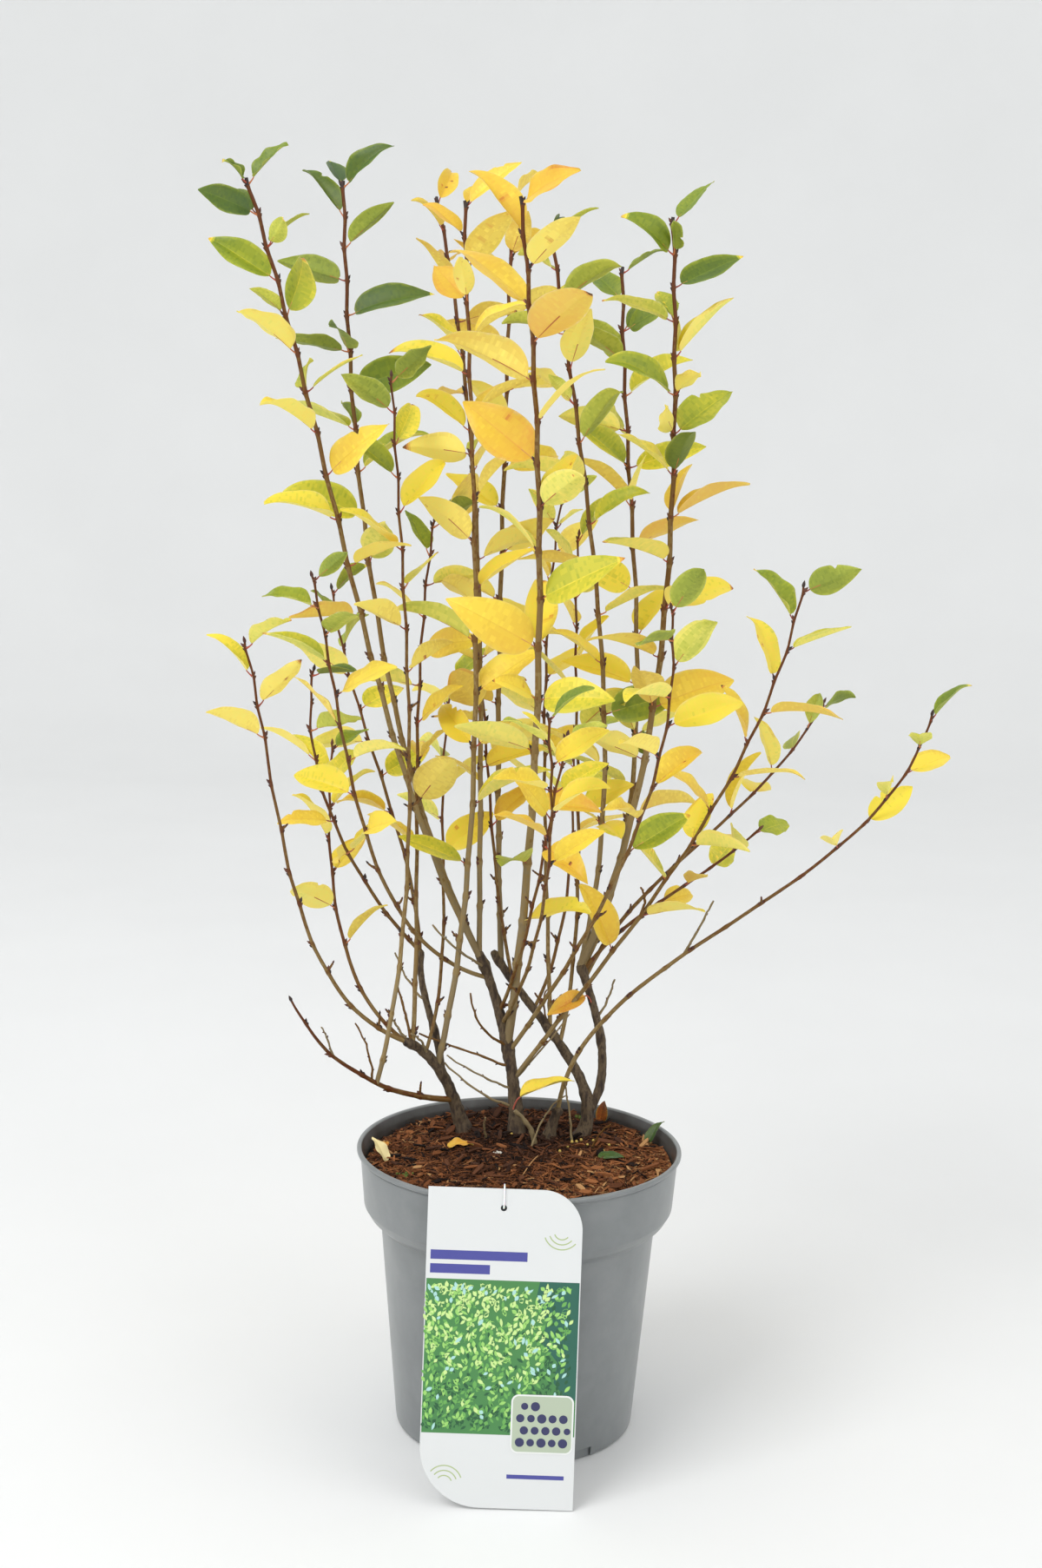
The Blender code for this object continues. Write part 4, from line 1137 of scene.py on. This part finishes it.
def scatter_soil(materials):
    """Bark shreds, fibres and crumbs that lie on the compost."""
    rng = random.Random(SEED * 17)
    shreds, fibres = Pile(), Pile()
    reach = COLLAR_RADIUS - WALL - 4.5
    for _ in range(SHREDS):
        x, y = inside_pot(rng, reach)
        add_shred(shreds, x, y, rng, rng.uniform(2.2, 8.5), rng.uniform(0.5, 1.9))
    for _ in range(CHIPS):
        x, y = inside_pot(rng, reach - 5)
        add_shred(shreds, x, y, rng, rng.uniform(6, 13), rng.uniform(2.0, 3.8), lift=1.2)
    for _ in range(CRUMBS):
        add_crumb(shreds, *inside_pot(rng, reach), rng)
    for _ in range(FIBRES):
        add_fibre(fibres, *inside_pot(rng, reach - 2), rng, reach)
    for x, y in BEADS:
        add_ball(shreds, (x, y, soil_height(x, y) + 1.6), 1.0, BEAD)
    for x, y, size, tint in ODD_BITS:
        for _ in range(9):
            near = (x + rng.gauss(0, size), y + rng.gauss(0, size))
            add_ball(shreds, (*near, soil_height(*near) + 1.5), rng.uniform(0.5, 1.0), tint)
    ends = [(x, y, soil_height(x, y) + lift) for x, y, lift in STRAW]
    add_tube(fibres, quadratic(*ends, 7), np.full(7, 0.4), 5, 6)
    shreds.build("compost_shreds", materials, "compost", sharp=50)
    fibres.build("compost_fibres", materials, "compost")


def add_fibre(pile, x, y, rng, reach):
    """A thin bent fibre, left out where it would pass the pot's wall."""
    heading, length = rng.uniform(0, 2 * math.pi), rng.uniform(4, 17)
    bend = rng.uniform(-0.5, 0.5)
    ends = []
    for s in (0, 0.5, 1):
        way = heading + bend * s
        px, py = x + math.cos(way) * length * (s - 0.5), y + math.sin(way) * length * (s - 0.5)
        if math.hypot(px, py) > reach:
            return
        ends.append(Vector((px, py, soil_height(px, py) + rng.uniform(-0.6, 1.3))))
    ends[1].z += rng.uniform(0, 2.4)
    radii = np.array((0.6, 1, 1, 0.9, 0.5)) * rng.uniform(0.10, 0.32)
    add_tube(pile, quadratic(*ends, 5), radii, 4, soil_tint(rng, x, y))


def add_shred(pile, x, y, rng, length, width, lift=0.0):
    """A split sliver of bark: a bent, tapered bar with ragged ends."""
    thick = width * rng.uniform(0.22, 0.45)
    heading, tilt = rng.uniform(0, math.pi), rng.gauss(0, 0.22)
    turn = Matrix.Rotation(heading, 3, "Z") @ Matrix.Rotation(tilt, 3, "Y")
    turn = turn @ Matrix.Rotation(rng.gauss(0, 0.5), 3, "X")
    points = []
    for s in (-0.5, -0.15, 0.2, 0.5):
        narrow = 0.45 + 0.55 * math.cos(s * 2.4) + rng.uniform(-0.12, 0.12)
        rise = 0.075 * (0.25 - s * s) * length
        for a, b in ((-1, -1), (1, -1), (1, 1), (-1, 1)):
            shape = (s * length + a * width * 0.2, a * width / 2 * narrow, b * thick / 2 + rise)
            points.append(turn @ Vector(shape))
    lift += max(0.2, min(1.5, abs(tilt) * length * 0.5)) + rng.uniform(-0.3, 0.6)
    base = Vector((x, y, soil_height(x, y) + lift))
    pile.add_rings([point + base for point in points], 4, soil_tint(rng, x, y))


def add_ball(pile, centre, radius, tint):
    """A small round grain."""
    heights, radii = np.array(((-0.95, -0.6, 0, 0.6, 0.95), (0.3, 0.8, 1, 0.8, 0.3))) * radius
    add_tube(pile, np.array(centre) + np.outer(heights, (0, 0, 1)), radii, 6, tint)


def add_crumb(pile, x, y, rng):
    """A small rough grain."""
    size = rng.uniform(0.5, 1.7)
    low = soil_height(x, y) + 0.3
    points = []
    for z, r in ((-0.5, 0.35), (-0.1, 0.6), (0.3, 0.5), (0.5, 0.2)):
        for j in range(5):
            angle = 2 * math.pi * j / 5 + z
            reach = size * r * rng.uniform(0.75, 1.2)
            points.append((x + reach * math.cos(angle), y + reach * math.sin(angle), low + z * size))
    pile.add_rings(points, 5, soil_tint(rng, x, y))


# Label

CARD_LAYER = 0.03


def card_place():
    """From the card's own plane, x to the right, y up and z out, to the pot's front."""
    lean = turned(90 - CARD_LEAN, "X").to_4x4()
    turn = turned(CARD_TURN, "Y").to_4x4()
    lift = CARD_WIDTH * math.sin(math.radians(CARD_TURN)) + CARD_THICK / 2
    return Matrix.Translation((*CARD_PLACE, lift)) @ turn @ lean


def card_outline(inset):
    """The card's edge, drawn in by an inset."""
    foot, top = CARD_FOOT_CORNER, CARD_TOP_CORNER
    points = [(inset, CARD_LENGTH - inset)]
    points += arc_points((foot, foot), foot - inset, 180, 90, 24)
    points.append((CARD_WIDTH - inset, inset))
    points += arc_points((CARD_WIDTH - top, CARD_LENGTH - top), top - inset, 0, 90, 18)
    return points


def flat_piece(name, outlines, low, high, material, replaced=(), bevel=0.0):
    """Flat shapes with thickness between two heights above the card's middle plane."""
    curve = bpy.data.curves.new(name, "CURVE")
    curve.dimensions = "2D"
    curve.fill_mode = "BOTH"
    curve.extrude = (high - low) / 2 - bevel
    curve.bevel_depth = bevel
    curve.bevel_resolution = 1
    for outline in outlines:
        line = curve.splines.new("POLY")
        line.points.add(len(outline) - 1)
        for target, (x, y) in zip(line.points, outline):
            target.co = (x, y, 0, 1)
        line.use_cyclic_u = True
    mesh = baked(place_object(name + "_curve", curve))
    mesh.name = name
    mesh.transform(card_place() @ Matrix.Translation((0, 0, (low + high) / 2)))
    mesh.transform(Matrix.Scale(MM, 4))
    mesh.materials.clear()
    mesh.materials.append(material)
    finish_piece(name, mesh, replaced, sharp=30)


MOTIFS = 1300
GREENS = {"green_dark": (36, 88, 54), "green_mid": (104, 168, 84), "green_light": (152, 206, 108),
          "green_pale": (200, 228, 146), "green_sky": (168, 214, 208)}
# The panel of dots and its edge: name, colour, corner radius and layer.
INSETS = (("inset_edge", (226, 228, 226), 4.6, 8), ("inset", (176, 188, 166), 3.6, 9))


def leaf_motif(x, y, length, width, angle):
    """A plain pointed oval."""
    turn = Matrix.Rotation(math.radians(angle), 2)
    points = []
    for i in range(10):
        side, share = (1, i / 5) if i < 5 else (-1, 2 - i / 5)
        spot = turn @ Vector((share * length, side * width / 2 * math.sin(math.pi * share)))
        points.append((x + spot.x, y + spot.y))
    return points


def print_ink(name, colour, outlines, layer):
    """Flat shapes of one colour on the card's front, in the layer of this number."""
    made = principled("ink_" + name, colour, 0.34)
    vary_roughness(made, noise_value(made, 80, 3), 0.28, 0.4)
    low = CARD_THICK / 2 - 0.01 + CARD_LAYER * (layer - 1)
    flat_piece("print_" + name, outlines, low, low + CARD_LAYER, made)


def box(left, low, right, high):
    return [(left, low), (right, low), (right, high), (left, high)]


def build_label():
    """A white card printed with a plain design: a green panel of leaf shapes, rules and dots."""
    white = principled("label_white", (216, 218, 218), 0.32, Specular_IOR_Level=0.5, Coat_Weight=0.15)
    vary_roughness(white, noise_value(white, 60, 4), 0.26, 0.4)
    raise_bump(white, noise_value(white, 22, 2), 0.25)
    card = [card_outline(0.1), arc_points(HOLE_PLACE, HOLE_RADIUS, 0, 360, 28)[:-1]]
    flat_piece("label_card", card, -CARD_THICK / 2, CARD_THICK / 2, white, ["label"], 0.1)
    rng = random.Random(SEED * 19)
    left, right, low, high = 0.6, CARD_WIDTH - 0.6, 44, 136
    print_ink("panel", (70, 130, 72), [box(left, low, right, high)], 1)
    shade_side = [(right, 66), (right, high), (68, high), (66, 126), (73, 112), (70, 100), (80, 88), (78, 76)]
    print_ink("panel_side", (40, 96, 80), [shade_side + [(86, 66)]], 2)
    motifs = {name: [] for name in GREENS}
    for _ in range(MOTIFS):
        x, y = rng.uniform(left + 0.5, right - 5), rng.uniform(low + 0.5, high - 5)
        shade = rng.gauss(1.5, 1.0) + 1.9 * (y - 84) / 46 - 1.8 * float(smooth_step(0.72, 0.84, x / right))
        name = list(GREENS)[int(min(3, max(0, round(shade))))]
        if rng.random() < 0.03 + 0.15 * (y > 122):
            name = "green_sky"
        length, width, angle = rng.uniform(2.8, 5.2), rng.uniform(1.4, 2.5), rng.uniform(20, 150)
        motifs[name].append(leaf_motif(x, y, length, width, angle))
    for layer, name in enumerate(GREENS):
        print_ink(name, GREENS[name], motifs[name], 3 + layer)
    rules = [box(2.5, 147.5, 60, 153.1), box(2.5, 139.3, 38, 144.9), box(52, 18, 86, 20.5)]
    print_ink("rule", (72, 74, 150), rules, 1)
    for name, colour, corner, layer in INSETS:
        inset = []
        for x, y, start in ((86, 64, 0), (58, 64, 90), (58, 38, 180), (86, 38, 270)):
            inset += arc_points((x, y), corner, start, 90, 8)
        print_ink(name, colour, [inset], layer)
    dots = []
    for k in range(17):
        x, y = 59 + 6.4 * (k % 5) + 2.4 * (k // 5 % 2), 40 + 7.2 * (k // 5)
        dots.append(arc_points((x, y), rng.uniform(1.9, 2.9), 0, 360, 16)[:-1])
    print_ink("dots", (50, 52, 92), dots, 10)
    rings = []
    for x, y, start in ((CARD_WIDTH - 12, 166, 200), (15, 14, 20)):
        for k in range(3):
            outer = arc_points((x, y), 5 + 3 * k, start, 120, 12)
            rings.append(outer + arc_points((x, y), 4.3 + 3 * k, start + 120, -120, 12))
    print_ink("corner", (168, 184, 128), rings, 1)


def build_tie():
    """The loop through the hole and over the card's top edge."""
    place = card_place()
    x, y = HOLE_PLACE
    top, over = CARD_LENGTH, CARD_LENGTH + TIE_STAND + TIE_THICK / 2
    route = [(y, -TIE_STAND), (y, TIE_STAND * 0.4), (y + TIE_THICK, TIE_STAND)]
    route += [(y + (top - y) * 0.6, TIE_STAND), (top + TIE_THICK / 2, TIE_STAND)]
    route += [(over, 0), (over, -TIE_BEHIND)]
    corners = [place @ Vector((x, along, out)) for along, out in route]
    points = []
    for a, b, c, d in zip(corners[:1] + corners, corners, corners[1:], corners[2:] + corners[-1:]):
        for i in range(6):
            s = i / 6
            square, cube = 2 * a - 5 * b + 4 * c - d, 3 * b - a - 3 * c + d
            points.append(0.5 * (2 * b + (c - a) * s + square * s**2 + cube * s**3))
    points.append(corners[-1])
    pile = Pile()
    add_tube(pile, points, [TIE_THICK / 2] * len(points), 12, 0)
    made = principled("label_tie", (240, 242, 242), 0.25, Subsurface_Weight=0.5, Subsurface_Scale=0.002)
    vary_roughness(made, noise_value(made, 300, 3), 0.2, 0.35)
    pile.build("tie_loop", [made], "label_tie", ["label_tie"])


# The plant

LEAF_GROUPS = {
    "leaves_tall_left_side": ("tall_left", "tall_left_back", "tall_back_left", "left_mid", "left_inner"),
    "leaves_tall_middle": ("tall_front", "tall_centre", "tall_back", "tall_mid_right"),
    "leaves_tall_right_side": ("tall_right", "tall_right_back", "front_right", "outer_right", "back_right",
                               "far_right"),
    "leaves_outer_and_inner": ("far_left", "low_left", "left_front", "left_back", "left_low_front",
                               "low_right", "inner_left", "inner_back_left", "back_centre", "inner_right",
                               "back_low", "front_low", "front_inner"),
}
# Second leaves in the axils: on what share of a shoot's leaves, and the room they need.
AXIL_SHARES = {"tall_left": 0.5, "tall_left_back": 0.3, "tall_right": 0.75, "tall_right_back": 0.65,
               "tall_mid_right": 0.5, "tall_front": 0.2, "tall_centre": 0.15}
USUAL_AXIL_SHARE = 0.06
AXIL_TRIES = 8
AXIL_CLEAR = 4.0
AXIL_YOUNGER = 0.6
LIMB_SPOTS = 80
DRIED = 20
# Leaves caught in the old wood: base, way out, upper side, length, age.
CAUGHT = [
    ((0, 15, 209), (0.9, 0.02, 0.46), (-0.42, -0.12, 0.9), 36, 6.9),
    ((40, 32, 272), (-0.85, -0.35, -0.3), (-0.2, -0.75, 0.6), 27, 9.8),
]
# Leaves on the compost: x, y and height above it, way out, upper side, length, age.
FALLEN = [
    (-84, -12, 1, (-0.45, 0.35, 0.85), (0.75, -0.6, 0.3), 18, DRIED),
    (-46, 6, 2, (1, 0.1, 0.15), (-0.1, -0.35, 0.95), 17, 9.6),
    (-89, 12, 2, (0.5, -0.4, 0.6), (0.2, -0.6, 0.9), 9, 10.4),
    (84, 34, 0, (0.5, 0.3, 0.9), (-0.8, -0.5, 0.3), 19, 0.3),
    (54, 70, 0, (0.1, -0.1, 1), (-0.3, -0.9, 0.1), 15, 12.2),
    (50, -4, 2, (1, 0.1, 0.1), (0, -0.2, 1), 17, 0.0),
]


def age_of(name, below, rng):
    """A leaf's age in autumn: greener at the tip of its shoot, ripe yellow lower down."""
    tip, fade = AUTUMN.get(name, INNER_AUTUMN)
    ripe = RIPE_AGE + rng.gauss(0, RIPE_SPREAD)
    share = float(smooth_step(0, 1, below / fade))
    return min(OLDEST, tip + (ripe - tip) * share + rng.gauss(0, MIXED.get(name, EVEN)))


def axil_leaves(name, limb, leaves, taken, rng):
    """Smaller leaves that stand in the axils of others, where they are clear of all that is taken."""
    made = []
    low, high = np.array(CAD_BOX) / MM
    for foot, out, _, length, _, below in leaves:
        if rng.random() > AXIL_SHARES.get(name, USUAL_AXIL_SHARE):
            continue
        along = limb.along(limb.share(limb.length - below))
        small = length * rng.uniform(0.5, 0.9)
        for _ in range(AXIL_TRIES):
            turn = rng.choice((-1, 1)) * rng.uniform(45, 150)
            way = (turned(turn, along) @ out + along * rng.uniform(0, 0.7)).normalized()
            across = (UPWARD + along).cross(way).normalized()
            face = turned(rng.uniform(-ROLL, ROLL), way) @ way.cross(across)
            spots = blade_spots(foot, way, face, small)
            gaps = np.linalg.norm(taken[None, :, :] - spots[:, None, :], axis=2)
            if ((low < spots) & (spots < high)).all() and gaps.min() > AXIL_CLEAR:
                made.append((foot, way, face, small, rng.uniform(*ARCH), below))
                taken = np.vstack((taken, spots))
                break
    return made, taken


def blade_spots(foot, out, up, length):
    """Points spread over a blade."""
    across = up.cross(out)
    half = LEAF_WIDTH * length / 2
    spots = [foot + out * (PETIOLE + length * s) + across * (half * side * w)
             for s, w in ((0.2, 0.8), (0.4, 1.0), (0.65, 0.7), (1.0, 0.0)) for side in (-1, 0, 1)]
    return np.array([tuple(spot) for spot in spots])


def grow_fallen(fallen, twigs):
    """Leaves that lie on the compost or hang caught in the old wood."""
    rng = random.Random(SEED * 29)
    lying = [((x, y, soil_height(x, y) + lift), *rest) for x, y, lift, *rest in FALLEN]
    for number, (base, out, up, length, age) in enumerate(CAUGHT + lying):
        base, out = Vector(base), Vector(out).normalized()
        across = Vector(up).cross(out).normalized()
        grow_blade(fallen, np.array(base), out, out.cross(across), length, 0.16, age, rng, 0.3)
        if age == DRIED:
            fallen.tints[-1] = np.full(len(BLADE_FACES), RIBS + 2)
        if number < len(CAUGHT):
            points = quadratic(base - out * 5 - Vector((0, 0, 6)), base - out * 3, base, 6)
            add_tube(twigs, points, np.full(6, 0.5), 6, PETIOLES)


def build_plant():
    """Old wood, shoots, leaves, dead twigs and fallen leaves, each kind in pieces of its own."""
    limbs = place_limbs()
    wood, tall_stems, stems = Pile(), Pile(), Pile()
    for number, row in enumerate(TRUNKS):
        if row[0] == "low_branch":
            grow_shoot(stems, (*row, 0, 0, 30), SEED, limbs[row[0]])
        else:
            grow_trunk(wood, row, number, limbs[row[0]])
    blades = {name: Pile() for name in LEAF_GROUPS}
    group_of = {shoot: name for name, shoots in LEAF_GROUPS.items() for shoot in shoots}
    rows = SHOOTS + SPRIGS
    leaves = [leaves_of(row, number, limbs[row[0]]) for number, row in enumerate(rows)]
    taken = [spot for shoot in leaves for leaf in shoot for spot in blade_spots(*leaf[:4])]
    for limb in limbs.values():
        taken += [tuple(limb.at(i / LIMB_SPOTS)) for i in range(LIMB_SPOTS + 1)]
    taken = np.array(taken)
    for number, row in enumerate(rows):
        name, limb = row[0], limbs[row[0]]
        twigs = tall_stems if name in CUT_SHOOTS else stems
        grow_shoot(twigs, row, number, limb)
        rng = random.Random(SEED * 23 + number)
        small, taken = axil_leaves(name, limb, leaves[number], taken, rng)
        for k, (foot, out, up, length, arch, below) in enumerate(leaves[number] + small):
            along = limb.along(limb.share(limb.length - below))
            grow_petiole(twigs, foot, along, out, stem_radius(row, limb, limb.length - below), rng)
            base = foot + out * PETIOLE
            age = age_of(name, below, rng) - (AXIL_YOUNGER if k >= len(leaves[number]) else 0)
            grow_blade(blades[group_of[name]], np.array(base), out, up, length, arch, age, rng)
    fallen = Pile()
    grow_fallen(fallen, stems)
    grow_dead_twigs(stems, limbs)
    trunks = [row[0] for row in TRUNKS if row[0] != "low_branch"]
    wood.build("old_wood", [old_bark_material()], "old_bark", trunks)
    barks = young_bark_materials()
    tall = ["bough_" + name for name in CUT_SHOOTS]
    others = ["low_branch"] + ["bough_" + row[0] for row in SHOOTS if row[0] not in CUT_SHOOTS]
    tall_stems.build("stems_tall", barks, "young_bark", tall, sharp=60)
    stems.build("stems_short", barks, "young_bark", others, sharp=60)
    materials = leaf_materials()
    for name, pile in blades.items():
        replaced = ["leaves_" + shoot for shoot in LEAF_GROUPS[name]]
        pile.build(name, materials, "leaf", replaced, sharp=65)
    fallen.build("fallen_leaves", materials, "leaf", sharp=65)


# Stage

CAMERA_PLACE = (-0.00377, -1.404, 0.6558)
CAMERA_PITCH = 9.735
CAMERA_ROLL = 1.218
FOCAL_PIXELS = 2650
IMAGE_HEIGHT = 1805
SENSOR = 36
FLOOR_SIDES = 72
SKY_STRENGTH = 0.92
LIGHTS = (("key", (-1.5, -1.5, 2.3), 1.6, 43), ("fill", (1.9, -1.6, 1.2), 1.8, 12))
LIT_PLACE = Vector((0, 0, 0.4))


def build_camera():
    """The camera, where the photo was taken from."""
    data = bpy.data.cameras.new("camera")
    data.sensor_width = SENSOR
    data.lens = FOCAL_PIXELS / IMAGE_HEIGHT * SENSOR
    camera = place_object("camera", data)
    pitch, roll = math.radians(CAMERA_PITCH), math.radians(CAMERA_ROLL)
    ahead = Vector((0, math.cos(pitch), -math.sin(pitch)))
    up = Vector((0, math.sin(pitch), math.cos(pitch)))
    right = Vector((1, 0, 0))
    c, s = math.cos(roll), math.sin(roll)
    axes = Matrix((right * c + up * s, up * c - right * s, -ahead)).transposed()
    camera.matrix_world = Matrix.Translation(CAMERA_PLACE) @ axes.to_4x4()
    bpy.context.scene.camera = camera


def build_stage():
    """A wide pale floor that sweeps up all round, and a plain world."""
    profile = [(1, 0)] + arc_points((2600, 1200), 1200, -90, 90, 14) + [(3800, 3200)]
    points = [(x, y, z - 0.2) for r, z in profile for x, y in circle(r, FLOOR_SIDES)]
    faces = ring_faces(len(profile), FLOOR_SIDES).tolist()
    pale = principled("floor", (234, 235, 235), 0.9, Specular_IOR_Level=0.1)
    mottle(pale, [(233, 234, 234), (235, 236, 236)], noise_value(pale, 3, 2))
    mesh = new_mesh("floor", points, faces, [pale], [0] * len(faces))
    mesh.shade_smooth()
    place_object("floor", mesh)
    world = bpy.data.worlds.new("world")
    world.use_nodes = True
    sky = world.node_tree.nodes["Background"]
    sky.inputs["Color"].default_value = (1.0, 1.0, 1.0, 1)
    sky.inputs["Strength"].default_value = SKY_STRENGTH
    bpy.context.scene.world = world


def build_lights():
    """A large soft key from the upper left front, and a weak fill from the right."""
    for name, place, size, power in LIGHTS:
        data = bpy.data.lights.new(name, "AREA")
        data.size = size
        data.energy = power
        light = place_object(name, data)
        light.location = place
        light.rotation_euler = (LIT_PLACE - Vector(place)).to_track_quat("-Z", "Y").to_euler()


def main():
    bpy.context.scene.view_settings.view_transform = "Standard"
    build_camera()
    build_stage()
    build_lights()
    build_pot()
    build_soil()
    build_label()
    build_tie()
    build_plant()


main()
